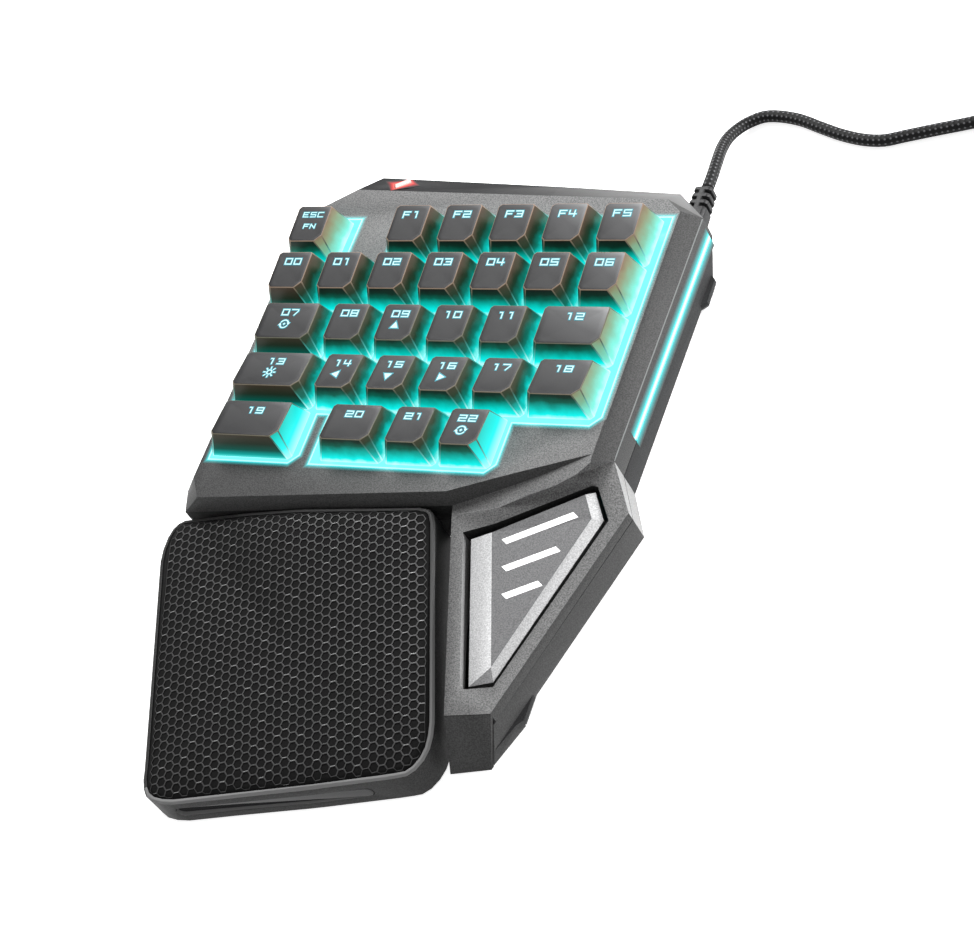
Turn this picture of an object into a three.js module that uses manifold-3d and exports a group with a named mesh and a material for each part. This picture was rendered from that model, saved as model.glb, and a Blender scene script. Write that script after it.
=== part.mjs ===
// One-handed gaming keypad with a thumb key block, a detachable palm rest and a USB cable.
// Millimetres, Z up. The shape is drawn in the key grid: X = 0 is the left edge of the key field,
// Y = 0 the middle of the top key row, Z = 0 the deck's surface. The group moves it to the part's frame.
import * as THREE from "three";
import { mergeVertices } from "three/addons/utils/BufferGeometryUtils.js";
import Module from "manifold-3d";

const wasm = await Module();
wasm.setup();

// Main sizes: the pitch of the keys drives the plan, the height of the deck drives the levels
const KEY_PITCH = 19.05;
const DECK_HEIGHT = 24.5;
const TABLE_Z = -DECK_HEIGHT;
const FIT = 0.3;
const WALL = 2.2;
const OVERCUT = 1;

// Plan of the case's corners in key pitches from the left edge and the middle of the top row
const PLAN_SHARES = {
  DECK_A: [-0.0525, 0.7034], DECK_B: [0.7402, 1.2388], DECK_M: [4.6824, 1.0446],
  DECK_C: [6.8871, 0.9344], DECK_D: [7.1811, 0.6877], DECK_E: [7.1654, -4.0945],
  DECK_K1: [6.3412, -4.378], DECK_K2: [5.706, -4.5984], DECK_G: [4.8451, -4.9186],
  DECK_N: [2.7402, -5.0971], DECK_H: [0.1995, -5.3018], DECK_I: [-0.0525, -4.9081],
  BAND_B: [1.1549, 1.5171], BAND_M: [4.6982, 1.3386], BAND_C: [6.9449, 1.2336],
  BAND_D: [7.5118, 0.7139], RIDGE_P1: [7.4278, -4.0577], APRON_I: [-0.294, -5.0184],
  APRON_H: [-0.1575, -5.4278], APRON_N: [2.7454, -5.1759], APRON_G: [4.8609, -4.9974],
  FOOT_2: [5.7192, -4.6772], FOOT_1: [6.3622, -4.4462], RIDGE_0: [4.9291, -5.1969],
  RIDGE_1: [5.1391, -5.1339], RIDGE_2: [5.7218, -5.0236], RIDGE_3: [6.1942, -4.8136],
  RIDGE_4: [6.6562, -4.6404], RIDGE_5: [6.9711, -4.4619], RIDGE_6: [7.1654, -4.252],
  BLOCK_P2: [7.832, -4.8294], BLOCK_P3: [6.7297, -8.4777], BLOCK_FL: [6.0157, -8.6194],
  RECESS_TL: [5.2126, -5.4646], RECESS_T1: [5.7218, -5.2598], RECESS_T2: [7.1706, -4.4934],
  RECESS_TR: [7.2598, -4.4934], RECESS_R: [7.5696, -5.0184], RECESS_C: [6.6247, -8.0367],
  RECESS_BL: [6.1732, -8.1365], RECESS_L: [6.084, -8.084], THUMB_1: [5.3543, -5.5381],
  THUMB_2: [5.7218, -5.4331], THUMB_3: [7.1024, -4.6562], THUMB_4: [7.2336, -4.5774],
  THUMB_5: [7.4698, -5.0079], THUMB_6: [6.5617, -7.9265], THUMB_7: [6.1785, -8.042],
  THUMB_A: [7.3071, -5.0341], THUMB_B: [6.4934, -7.727], PIVOT: [6.3675, -7.8478],
  FLOOR_C: [6.3517, 1.2598], FLOOR_D: [7.5013, 0.1995], SLAB_RIGHT: [6.7454, -8.4199],
  SLAB_LEFT: [5.9633, -8.3622], SLAB_FOOT_RIGHT: [6.5774, -8.9239],
  SLAB_FOOT_LEFT: [5.9318, -8.8766], CHEEK_RIGHT: [6.8766, -8.1995], CHEEK_LEFT: [6.0892, -8.1995],
};
// Heights of the same corners over the deck in shares of the deck's height
const CORNER_RISE_SHARES = {
  DECK_A: 0, DECK_B: 0, DECK_M: 0, DECK_C: 0, DECK_D: 0, DECK_E: 0, DECK_K1: 0, DECK_K2: 0,
  DECK_G: 0, DECK_N: 0, DECK_H: 0, DECK_I: 0, BAND_B: -0.02041, BAND_M: -0.09388, BAND_C: -0.17551,
  BAND_D: -0.17551, RIDGE_P1: -0.20408, APRON_I: -0.22449, APRON_H: -0.22449, APRON_N: -0.22449,
  APRON_G: -0.22449, FOOT_2: -0.16327, FOOT_1: -0.09388, RIDGE_0: -0.20408, RIDGE_1: -0.20408,
  RIDGE_2: -0.18367, RIDGE_3: -0.12245, RIDGE_4: -0.08163, RIDGE_5: -0.04082, RIDGE_6: -0.01224,
  BLOCK_P2: -0.36735, BLOCK_P3: -0.33469, BLOCK_FL: -0.28571, RECESS_TL: -0.23673,
  RECESS_T1: -0.2449, RECESS_T2: -0.22449, RECESS_TR: -0.2449, RECESS_R: -0.32653,
  RECESS_C: -0.32653, RECESS_BL: -0.30612, RECESS_L: -0.29796, THUMB_1: -0.29388, THUMB_2: -0.23673,
  THUMB_3: -0.22857, THUMB_4: -0.26939, THUMB_5: -0.3551, THUMB_6: -0.37551, THUMB_7: -0.37551,
  THUMB_A: -0.28571, THUMB_B: -0.30204, PIVOT: -0.59184, FLOOR_C: -0.89796, FLOOR_D: -0.89796,
  SLAB_RIGHT: -0.35102, SLAB_LEFT: -0.35102, SLAB_FOOT_RIGHT: -0.98776, SLAB_FOOT_LEFT: -0.98776,
  CHEEK_RIGHT: -0.98367, CHEEK_LEFT: -0.98367,
};
// Levels inside and under the case in shares of the deck's height
const LEVEL_SHARES = {
  SPLIT_Z: -0.5102, FLOOR_TOP: -0.81633, FLOOR_BOTTOM: -0.89796, LOBE_BOTTOM: -0.98367,
  SLAB_BOTTOM: -0.98776, BLOCK_CAVITY_TOP: -0.44898, BOSS_BORE_TOP: -0.26939, HEAD_BORE_TOP: -0.8,
  SCREW_HEAD_BOTTOM: -0.8898, SCREW_HEAD_TOP: -0.81224, SCREW_TIP: -0.29388,
  REST_POST_TOP: -0.61633, PLATE_TOP: -0.17551, PLATE_BOTTOM: -0.24082, STEM_BOTTOM: -0.24898,
  DOME_TOP: -0.26122, DOME_SHEET_TOP: -0.43265, DOME_SHEET_BOTTOM: -0.46531, BOARD_TOP: -0.47755,
  BOARD_BOTTOM: -0.54286, BALLAST_TOP: -0.5551, BALLAST_BOTTOM: -0.60408, THUMB_FLOOR: -0.44082,
  KNUCKLE_BOTTOM: -0.6898, BEARING_TOP: -0.52653, THUMB_DOME_TOP: -0.45306, STRIP_TOP: -0.40816,
  STRIP_BOTTOM: -0.5102, LENS_TOP: -0.0102, LENS_BOTTOM: -0.11429, PALM_BOTTOM: -0.98367,
  PILL_TOP: -0.67347, COLLAR_BOTTOM: -0.16327, PALM_CENTRE: -0.37143,
};
const LEVEL = Object.fromEntries(
  Object.entries(LEVEL_SHARES).map(([name, share]) => [name, share * DECK_HEIGHT]),
);
const inPlan = ([x, y]) => [x * KEY_PITCH, y * KEY_PITCH];
const plan = (shares) => shares.map(inPlan);
const P = Object.fromEntries(
  Object.entries(PLAN_SHARES).map(([name, spot]) => [
    name, [...inPlan(spot), CORNER_RISE_SHARES[name] * DECK_HEIGHT],
  ]),
);

// Thumb block
const SLAB_FRONT_RIGHT_SHARES = [6.5564, -8.9816];
const SLAB_FRONT_RIGHT = inPlan(SLAB_FRONT_RIGHT_SHARES);
const SLAB_FRONT_LEFT_SHARES = [5.895, -9.1339];
const SLAB_FRONT_LEFT = inPlan(SLAB_FRONT_LEFT_SHARES);
const SLAB_TOP_SINK = 0.4;
const SLAB_REAR_GAP = 0.42;

// Key opening of the deck
const OPENING_SHARES = [
  [0.0997, -4.5302], [1.6798, -4.5302], [1.8373, -4.3727], [1.8373, -3.5433], [2.105, -3.5433],
  [2.105, -4.5302], [5.3858, -4.5302], [5.5433, -4.3727], [5.5433, -3.5696], [6.9291, -3.5696],
  [7.0866, -3.4121], [7.0866, 0.5512], [1.916, 0.5512], [1.916, -0.4882], [1.0919, -0.4882],
  [1.0919, 0.5512], [0.0026, 0.5512], [0.0026, -1.5013], [0.0997, -1.5013],
];
const CAVITY_SHARES = [
  [0.021, -4.9344], [0.2047, -5.2126], [4.7717, -4.8346], [5.6798, -4.5092], [6.315, -4.294],
  [7.1129, -4.021], [7.3228, -3.937], [7.3228, 0.6614], [6.8661, 1.1024], [4.6929, 1.2178],
  [1.1181, 1.3806], [0.021, 0.6404],
];
const BLOCK_CAVITY_SHARES = [
  [4.9816, -5.0866], [5.0446, -5.1969], [6.0052, -8.252], [6.6877, -8.1155], [7.6955, -4.8504],
  [7.3176, -4.168], [7.0341, -4.1785],
];

// Case screws and posts
// Place of each screw in key pitches, top of its boss in shares of the deck's height
const SCREW_SHARES = [
  [1.2598, 1.0236, -0.14286], [6.2992, 0.8714, -0.14286], [0.6299, -4.9081, -0.14286],
  [5.4068, -5.0919, -0.42857], [7.1496, -3.8425, -0.14286],
];
const SCREW_PLACES = SCREW_SHARES.map((row) => [...inPlan(row), row[2] * DECK_HEIGHT]);
const BOSS_RADIUS = 2.8;
const BOSS_BORE_RADIUS = 1.4;
const POST_RADIUS = 3.4;
const HEAD_BORE_RADIUS = 2.6;
const SCREW_HEAD_RADIUS = 2.3;
const SCREW_SHANK_RADIUS = 1.1;
const SCREW_TAPER = 0.8;
const REST_POSTS_SHARES = [
  [1.0499, -1.0499], [5.7743, -1.0499], [1.0499, -3.4646], [4.7244, -3.4646], [3.2546, -2.0997],
];
const REST_POST_RADIUS = 3;

// Feet of the case: centre, lobe half sizes at the floor and at the bottom
const LOBE_PLACE_SHARES = [[7.1916, -0.105], [0.3255, -0.0525], [0.3937, -4.7507], [6.5407, -7.9265]];
const LOBE_HALVES = [
  [7.5, 6.5, 6.4, 5], [6.7, 7.5, 6.5, 5.2], [6.7, 6.5, 6.2, 5.2], [7.4, 8, 6.4, 6.8],
];
const LOBES = LOBE_PLACE_SHARES.map((spot, i) => [...inPlan(spot), ...LOBE_HALVES[i]]);
const FOOT_RADIUS = 4.4;
const FOOT_THICKNESS = 1.2;
const FOOT_FIT = 0.1;

// Inner stack
const PLATE_OUTLINE_SHARES = [
  [0.042, -4.6352], [5.2703, -4.6352], [5.6063, -4.5144], [5.6273, -3.727], [6.9816, -3.727],
  [7.1706, -3.5171], [7.1706, 0.6404], [0.042, 0.6404],
];
const BOARD_OUTLINE_SHARES = [
  [0.1575, -4.4619], [5.3018, -4.4619], [5.5643, -4.3045], [5.5643, -3.727], [6.9029, -3.727],
  [6.9029, 0.4462], [0.1575, 0.4462],
];
const STEM_HALF = 2.8;
const STEM_CUT = 0.6;
const STEM_HOLE_HALF = 3.2;
const DOME_TOP_RADIUS = 3.1;
const DOME_FOOT_RADIUS = 5.4;

// Keycaps
const CAP_GAP = 0.45;
const CAP_FRONT_GAP = 0.425;
const CAP_BACK_TAPER = 1.4;
const CAP_FRONT_TAPER = 3;
const CAP_HALF_DEPTH = KEY_PITCH / 2 - CAP_FRONT_GAP;
const CAP_TOP_BACK = CAP_HALF_DEPTH - CAP_BACK_TAPER;
const CAP_TOP_FRONT = CAP_FRONT_TAPER - CAP_HALF_DEPTH;
const CAP_SIDE_TAPER = 2.74;
const CAP_BASE_Z = 0;
const CAP_WALL = 1.3;
const CAP_ROOF = 1.8;
const CAP_DISH = 0.45;
const CAP_DISH_SHARE = 0.8;
const CAP_DISH_RING_SHARE = 0.7;
const CAP_TOP_CUTS = { frontLeft: 1.1, frontRight: 2.3, backRight: 0.35, backLeft: 0.9 };
const CAP_BASE_CUTS = { frontLeft: 0.7, frontRight: 1.2, backRight: 0.4, backLeft: 0.6 };
const CAP_INNER_CUT = 0.4;
const LEFT_TRIM = 1.9;
const ROW_BACK_HEIGHTS = [10.8, 10.6, 8.25, 7.2, 7.2];
const ROW_FRONT_HEIGHTS = [9.7, 9.6, 8.0, 8.7, 8.4];
// Name, row, left and right edge in key pitches, whether its left edge is trimmed
const KEYS = [
  ["key_esc", 0, 0, 1, false], ["key_f1", 0, 2, 3, false], ["key_f2", 0, 3, 4, false],
  ["key_f3", 0, 4, 5, false], ["key_f4", 0, 5, 6, false], ["key_f5", 0, 6, 7, false],
  ["key_00", 1, 0, 1, false], ["key_01", 1, 1, 2, false], ["key_02", 1, 2, 3, false],
  ["key_03", 1, 3, 4, false], ["key_04", 1, 4, 5, false], ["key_05", 1, 5, 6, false],
  ["key_06", 1, 6, 7, false],
  ["key_07", 2, 0, 1.5, true], ["key_08", 2, 1.5, 2.5, false], ["key_09", 2, 2.5, 3.5, false],
  ["key_10", 2, 3.5, 4.5, false], ["key_11", 2, 4.5, 5.5, false], ["key_12", 2, 5.5, 7, false],
  ["key_13", 3, 0, 1.75, true], ["key_14", 3, 1.75, 2.75, false],
  ["key_15", 3, 2.75, 3.75, false], ["key_16", 3, 3.75, 4.75, false],
  ["key_17", 3, 4.75, 5.75, false], ["key_18", 3, 5.75, 7, false],
  ["key_19", 4, 0, 1.75, true], ["key_20", 4, 2.25, 3.5, false], ["key_21", 4, 3.5, 4.5, false],
  ["key_22", 4, 4.5, 5.5, false],
];

// Thumb key and its pivot
const BLOCK_TURN_DEG = 19;
const PIVOT_RADIUS = 1.2;
const PIVOT_HALF_LENGTH = 5.8;
const KNUCKLE_HALF_WIDTH = 2.5;
const KNUCKLE_HALF_DEPTH = 2.6;
const KNUCKLE_BORE_RADIUS = 1.5;
const BEARING_OFFSET = 4.5;
const BEARING_HALF_WIDTH = 1.5;
const BEARING_BORE_RADIUS = 1.26;
const THUMB_DOME_PLACE_SHARES = [6.3517, -5.1969];
const THUMB_DOME_PLACE = inPlan(THUMB_DOME_PLACE_SHARES);
const THUMB_DOME_FOOT_RADIUS = 5.2;
const THUMB_DOME_TOP_RADIUS = 3;

// Light strip in the right wall and status lens on the band
const STRIP_BACK_Y_SHARE = 0.6404;
const STRIP_BACK_Y = STRIP_BACK_Y_SHARE * KEY_PITCH;
const STRIP_FRONT_Y_SHARE = -3.3858;
const STRIP_FRONT_Y = STRIP_FRONT_Y_SHARE * KEY_PITCH;
const STRIP_DEPTH = 1.4;
const STRIP_PROUD = 0.1;
const LENS_START_SHARES = [1.4751, 1.3228];
const LENS_START = inPlan(LENS_START_SHARES);
const LENS_END_SHARES = [1.7323, 1.4488];
const LENS_END = inPlan(LENS_END_SHARES);
const LENS_WIDTH = 1.6;

// Palm rest, outline of the frame's top edge
const PALM_EDGE_SHARES = [
  [1.1339, -10.4357], [1.5171, -10.4777], [2.5879, -10.231], [3.8373, -9.958], [4.6772, -9.748],
  [5.3386, -9.5853], [5.6273, -9.4908], [5.8058, -9.1549], [5.7953, -8.7559], [5.2073, -6.9921],
  [4.8766, -5.9895], [4.6299, -5.2073], [4.4462, -5.0814], [2.1207, -5.2598], [1.0184, -5.3543],
  [-0.0262, -5.4541], [-0.294, -5.4961], [-0.4462, -5.7165], [-0.4357, -6.1785],
  [0.3097, -8.2887], [0.8189, -9.811], [0.9449, -10.2152],
];
// Heights of those points in shares of the deck's height
const PALM_EDGE_RISE_SHARES = [
  -0.53878, -0.54286, -0.53469, -0.52653, -0.51837, -0.51429, -0.5102, -0.4898, -0.44898, -0.32653,
  -0.2449, -0.18776, -0.17143, -0.16327, -0.22449, -0.32653, -0.33469, -0.34694, -0.3551, -0.42857,
  -0.52245, -0.53469,
];
const PALM_CENTRE_SHARES = [2.6772, -7.6115];
const PALM_CENTRE = [...inPlan(PALM_CENTRE_SHARES), LEVEL.PALM_CENTRE];
const PALM_EDGE = PALM_EDGE_SHARES.map((spot, i) => [
  ...inPlan(spot), PALM_EDGE_RISE_SHARES[i] * DECK_HEIGHT,
]);
const SOFT_SHARE = 0.25;
const SOFT_REACH = 2.5;
const FRAME_WIDTH = 1.4;
const FRAME_BEVEL = 0.6;
const POCKET_DEPTH = 1.6;
const PAD_FIT = 0.2;
const PAD_SINK = 0.2;
const PAD_CROWN = 1.6;
const PAD_RING_SHARES = [0.97, 0.88, 0.7, 0.4];
const PAD_RISE_SHARES = [0.35, 0.7, 0.92, 1];
const PILL_START_SHARES = [1.5486, -10.4331];
const PILL_START = inPlan(PILL_START_SHARES);
const PILL_END_SHARES = [4.9081, -9.727];
const PILL_END = inPlan(PILL_END_SHARES);
const PILL_HEIGHT = 4.5;
const PILL_DEPTH = 1.6;
const INSERT_FIT = 0.25;
const INSERT_SINK = 0.5;
const INSERT_THICKNESS = 0.9;
const PILL_STEPS = 6;
const PALM_FEET_SHARES = [
  [3.2021, -9.5013], [2.0997, -5.9318],
];
const PALM_FOOT_HALF = [34, 3.5];

// Strain relief and cable
const RELIEF_ROOT_SHARES = [7.2441, 0.7297];
const [RELIEF_X, RELIEF_ROOT_Y] = inPlan(RELIEF_ROOT_SHARES);
const RELIEF_LENGTH = 14.2;
const RELIEF_TIP_Y = RELIEF_ROOT_Y + RELIEF_LENGTH;
const RELIEF_ROOT_HALF = [3.5, 3.3];
const RELIEF_LIFT = 0.2;
const RELIEF_Z = LEVEL.SPLIT_Z + RELIEF_LIFT + RELIEF_ROOT_HALF[1];
const RELIEF_TIP_HALF = [3.1, 3];
const RELIEF_CUT = 0.9;
const RELIEF_SLOTS = 3;
const RELIEF_SLOT_PITCH = 2.7;
const RELIEF_SLOT_WIDTH = 1.1;
const RELIEF_SLOT_FIRST = 6.7;
const RELIEF_SLOT_FIRST_Y = RELIEF_ROOT_Y + RELIEF_SLOT_FIRST;
const RELIEF_WEB_HALF = 0.9;
const NOTCH_HALF = RELIEF_ROOT_HALF[0] + FIT;
const NOTCH_TOP = RELIEF_Z + RELIEF_ROOT_HALF[1] + FIT;
const NOTCH_FRONT_GAP = 0.5;
const NOTCH_FRONT_Y = RELIEF_ROOT_Y - NOTCH_FRONT_GAP;
const CABLE_RADIUS = 2;
const CABLE_SIDES = 8;
const CABLE_STEPS = 40;
const CABLE_END_GAP = 0.3;
// The cable's way from the relief's tip, in key pitches, its height a share of its drop to the table
const CABLE_ROUTE_SHARES = [
  [0, 0.0157, 1], [-0.0052, 0.2835, 0.9704], [-0.0945, 0.8136, 0.7778], [-0.189, 1.2021, 0.5556],
  [-0.231, 1.5433, 0.3556], [-0.21, 1.832, 0.1704], [-0.0945, 2.084, 0.037], [0.147, 2.2362, 0],
  [0.4199, 2.2415, 0], [0.8451, 2.147, 0], [1.2966, 1.9528, 0], [1.7375, 1.7743, 0],
  [2.1627, 1.664, 0], [2.4934, 1.6483, 0], [2.8136, 1.727, 0], [3.3596, 1.8583, 0],
  [3.9475, 1.9948, 0],
];
const CABLE_LIE_Z = TABLE_Z + CABLE_RADIUS;
const CABLE_ROUTE = CABLE_ROUTE_SHARES.map((row, i) => {
  const [x, y] = inPlan(row);
  const start = i ? y : CABLE_END_GAP;
  return [RELIEF_X + x, RELIEF_TIP_Y + start, CABLE_LIE_Z + row[2] * (RELIEF_Z - CABLE_LIE_Z)];
});
const COIL_CENTRE_SHARES = [13.7533, 2.5669];
const COIL_CENTRE = inPlan(COIL_CENTRE_SHARES);
const COIL_RADIUS = 28;
const COIL_TURN_PITCH = 4.8;
const COIL_LAYER_PITCH = 4.6;
const COIL_LAYERS = 4;
const COIL_LAYER_TURNS = 2.33;
const COIL_LIFT = 1.2;
const COIL_CLIMB_TURNS = 0.5;
const COIL_STEPS_PER_TURN = 24;
const COIL_SIDES = 6;
const COIL_LEAD = 4;
const TAIL_LENGTH = 46;
const TAIL_STEPS = 12;
const TIE_ANGLE_DEG = 215;
const TIE_THICKNESS = 0.8;
const TIE_WIDTH = 8;
const TIE_CLEARANCE = 0.35;
const GRIP_LENGTH = 27;
const GRIP_WIDTH = 15.6;
const GRIP_HEIGHT = 8.2;
const GRIP_CUT = 1.6;
const GRIP_NECK_LENGTH = 6;
const GRIP_NECK_SHARE = 0.55;
const SHELL_LENGTH = 14;
const SHELL_WIDTH = 12;
const SHELL_HEIGHT = 4.5;
const SHELL_WALL = 0.4;
const SHELL_MOUTH_DEPTH = 9;
const SHELL_GAP = 0.2;
const ROUND_STEPS = 16;

// Colours and finishes
const LOOKS = {
  deck: { color: 0x5d5d5c, roughness: 0.62, metalness: 0 },
  base: { color: 0x2b2b2d, roughness: 0.7, metalness: 0 },
  keycap: { color: 0x1d2022, roughness: 0.5, metalness: 0 },
  thumb: { color: 0x8f9092, roughness: 0.42, metalness: 0.6 },
  light: { color: 0x5feff2, roughness: 0.3, metalness: 0 },
  lens: { color: 0xa01a14, roughness: 0.25, metalness: 0 },
  steel: { color: 0xa9abad, roughness: 0.35, metalness: 1 },
  rubber: { color: 0x161617, roughness: 0.9, metalness: 0 },
  silicone: { color: 0xb9bcbc, roughness: 0.8, metalness: 0 },
  board: { color: 0x1e4a33, roughness: 0.5, metalness: 0 },
  frame: { color: 0x565656, roughness: 0.6, metalness: 0 },
  pad: { color: 0x1b1b1c, roughness: 0.75, metalness: 0 },
  gloss: { color: 0x17181a, roughness: 0.12, metalness: 0 },
  cable: { color: 0x2c2d2f, roughness: 0.85, metalness: 0 },
};

// A geometry from a list of triangles, turned so that its faces point out
function fromTriangles(triangles) {
  const flat = new Float32Array(triangles.flat(2));
  const geometry = new THREE.BufferGeometry();
  geometry.setAttribute("position", new THREE.BufferAttribute(flat, 3));
  let volume = 0;
  for (const [a, b, c] of triangles) {
    const cross = [
      b[1] * c[2] - b[2] * c[1],
      b[2] * c[0] - b[0] * c[2],
      b[0] * c[1] - b[1] * c[0],
    ];
    volume += a[0] * cross[0] + a[1] * cross[1] + a[2] * cross[2];
  }
  if (volume < 0) {
    const array = geometry.attributes.position.array;
    for (let i = 0; i < array.length; i += 9) {
      for (let k = 0; k < 3; k++) {
        const held = array[i + 3 + k];
        array[i + 3 + k] = array[i + 6 + k];
        array[i + 6 + k] = held;
      }
    }
  }
  return mergeVertices(geometry);
}

// Triangles of a polygon in plan, each point keeping its own height
function planTriangles(points, holes = []) {
  const contour = points.map((p) => new THREE.Vector2(p[0], p[1]));
  const cuts = holes.map((hole) => hole.map((p) => new THREE.Vector2(p[0], p[1])));
  const all = [...points, ...holes.flat()];
  return THREE.ShapeUtils.triangulateShape(contour, cuts).map((t) => {
    const [a, b, c] = t.map((i) => all[i]);
    const area = (b[0] - a[0]) * (c[1] - a[1]) - (b[1] - a[1]) * (c[0] - a[0]);
    return area > 0 ? [a, b, c] : [a, c, b];
  });
}

// A solid under a roof of faces, each a polygon of shared points, down to a flat floor
function roof(faces, floor) {
  const top = [];
  for (const face of faces) {
    top.push(...planTriangles(face.outline ?? face, face.holes ?? []));
  }
  const key = (p) => p.join();
  const edges = new Map();
  for (const [a, b, c] of top) {
    for (const [p, q] of [[a, b], [b, c], [c, a]]) {
      edges.set(key(p) + "|" + key(q), [p, q]);
    }
  }
  const down = (p) => [p[0], p[1], floor];
  const triangles = [...top];
  for (const [a, b, c] of top) {
    triangles.push([down(a), down(c), down(b)]);
  }
  for (const [p, q] of edges.values()) {
    if (edges.has(key(q) + "|" + key(p))) continue;
    triangles.push([q, p, down(p)]);
    triangles.push([q, down(p), down(q)]);
  }
  return fromTriangles(triangles);
}

// A solid through rings of equal length, closed at each end by a centre point or by its plan
function stack(rings, startCentre, endCentre) {
  const triangles = [];
  const count = rings[0].length;
  for (let i = 0; i + 1 < rings.length; i++) {
    for (let j = 0; j < count; j++) {
      const next = (j + 1) % count;
      triangles.push([rings[i][j], rings[i][next], rings[i + 1][next]]);
      triangles.push([rings[i][j], rings[i + 1][next], rings[i + 1][j]]);
    }
  }
  const last = rings[rings.length - 1];
  if (startCentre) {
    for (let j = 0; j < count; j++) {
      triangles.push([startCentre, rings[0][(j + 1) % count], rings[0][j]]);
    }
  } else {
    triangles.push(...planTriangles(rings[0]).map(([a, b, c]) => [a, c, b]));
  }
  if (endCentre) {
    for (let j = 0; j < count; j++) {
      triangles.push([endCentre, last[j], last[(j + 1) % count]]);
    }
  } else {
    triangles.push(...planTriangles(last));
  }
  return fromTriangles(triangles);
}

const atHeight = (points, z) => points.map((p) => [p[0], p[1], z]);
const prism = (points, low, high) => stack([atHeight(points, low), atHeight(points, high)]);

// A polygon moved inwards by a distance, its corners mitred; the points run anticlockwise
function inset(points, distance) {
  const count = points.length;
  return points.map((p, i) => {
    const before = points[(i + count - 1) % count];
    const after = points[(i + 1) % count];
    const d1 = new THREE.Vector2(p[0] - before[0], p[1] - before[1]).normalize();
    const d2 = new THREE.Vector2(after[0] - p[0], after[1] - p[1]).normalize();
    const n1 = new THREE.Vector2(-d1.y, d1.x);
    const n2 = new THREE.Vector2(-d2.y, d2.x);
    const mid = n1.clone().add(n2);
    const reach = distance / (mid.lengthSq() / 2);
    return [p[0] + mid.x * reach, p[1] + mid.y * reach, ...p.slice(2)];
  });
}

function circle(x, y, radius, steps = ROUND_STEPS) {
  return Array.from({ length: steps }, (_, i) => {
    const angle = (i / steps) * Math.PI * 2;
    return [x + radius * Math.cos(angle), y + radius * Math.sin(angle)];
  });
}

const rectangle = (x, y, halfX, halfY) => [
  [x - halfX, y - halfY], [x + halfX, y - halfY], [x + halfX, y + halfY], [x - halfX, y + halfY],
];

// A rectangle with a cut corner at each of its four corners, anticlockwise from the front left
function cutRectangle(left, right, front, back, cuts) {
  return [
    [left + cuts.frontLeft, front], [right - cuts.frontRight, front],
    [right, front + cuts.frontRight], [right, back - cuts.backRight],
    [right - cuts.backRight, back], [left + cuts.backLeft, back],
    [left, back - cuts.backLeft], [left, front + cuts.frontLeft],
  ];
}

const evenCuts = (cut) => ({ frontLeft: cut, frontRight: cut, backRight: cut, backLeft: cut });

// Boolean joins and cuts
function solid(geometry) {
  const clean = new THREE.BufferGeometry();
  clean.setAttribute("position", geometry.getAttribute("position").clone());
  if (geometry.index) clean.setIndex(geometry.index.clone());
  const merged = mergeVertices(clean);
  const data = {
    numProp: 3,
    vertProperties: new Float32Array(merged.attributes.position.array),
    triVerts: new Uint32Array(merged.index.array),
  };
  return new wasm.Manifold(new wasm.Mesh(data));
}

function geometryOf(manifold) {
  const data = manifold.getMesh();
  const geometry = new THREE.BufferGeometry();
  geometry.setAttribute("position", new THREE.BufferAttribute(new Float32Array(data.vertProperties), 3));
  geometry.setIndex(new THREE.BufferAttribute(new Uint32Array(data.triVerts), 1));
  return geometry;
}

const join = (pieces) => pieces.reduce((sum, piece) => sum.add(piece));
const cut = (body, tools) => tools.reduce((rest, tool) => rest.subtract(tool), body);

const root = new THREE.Group();
root.name = "gaming_keypad";
const caseGroup = new THREE.Group();
const keyGroup = new THREE.Group();
const palmGroup = new THREE.Group();
const cordGroup = new THREE.Group();
root.add(caseGroup, keyGroup, palmGroup, cordGroup);

function place(group, name, geometry, look) {
  const flat = geometry.index ? geometry.toNonIndexed() : geometry;
  flat.deleteAttribute("normal");
  flat.deleteAttribute("uv");
  flat.computeVertexNormals();
  const mesh = new THREE.Mesh(flat, new THREE.MeshStandardMaterial(LOOKS[look]));
  mesh.name = name;
  group.add(mesh);
  return mesh;
}

// Axes of the thumb block: across it, and along it towards the user
const turn = THREE.MathUtils.degToRad(BLOCK_TURN_DEG);
const across = [Math.cos(turn), Math.sin(turn)];
const along = [Math.sin(turn), -Math.cos(turn)];

function turnedBox(centre, offset, halfAcross, halfAlong, low, high) {
  const x = centre[0] + across[0] * offset;
  const y = centre[1] + across[1] * offset;
  const corner = (s, t) => [
    x + across[0] * halfAcross * s + along[0] * halfAlong * t,
    y + across[1] * halfAcross * s + along[1] * halfAlong * t,
  ];
  return prism([corner(-1, 1), corner(1, 1), corner(1, -1), corner(-1, -1)], low, high);
}

function pivotRod(radius, halfLength) {
  const rod = new THREE.CylinderGeometry(radius, radius, halfLength * 2, ROUND_STEPS);
  rod.rotateZ(Math.PI / 2 + turn);
  rod.translate(P.PIVOT[0], P.PIVOT[1], P.PIVOT[2]);
  return rod;
}

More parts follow.
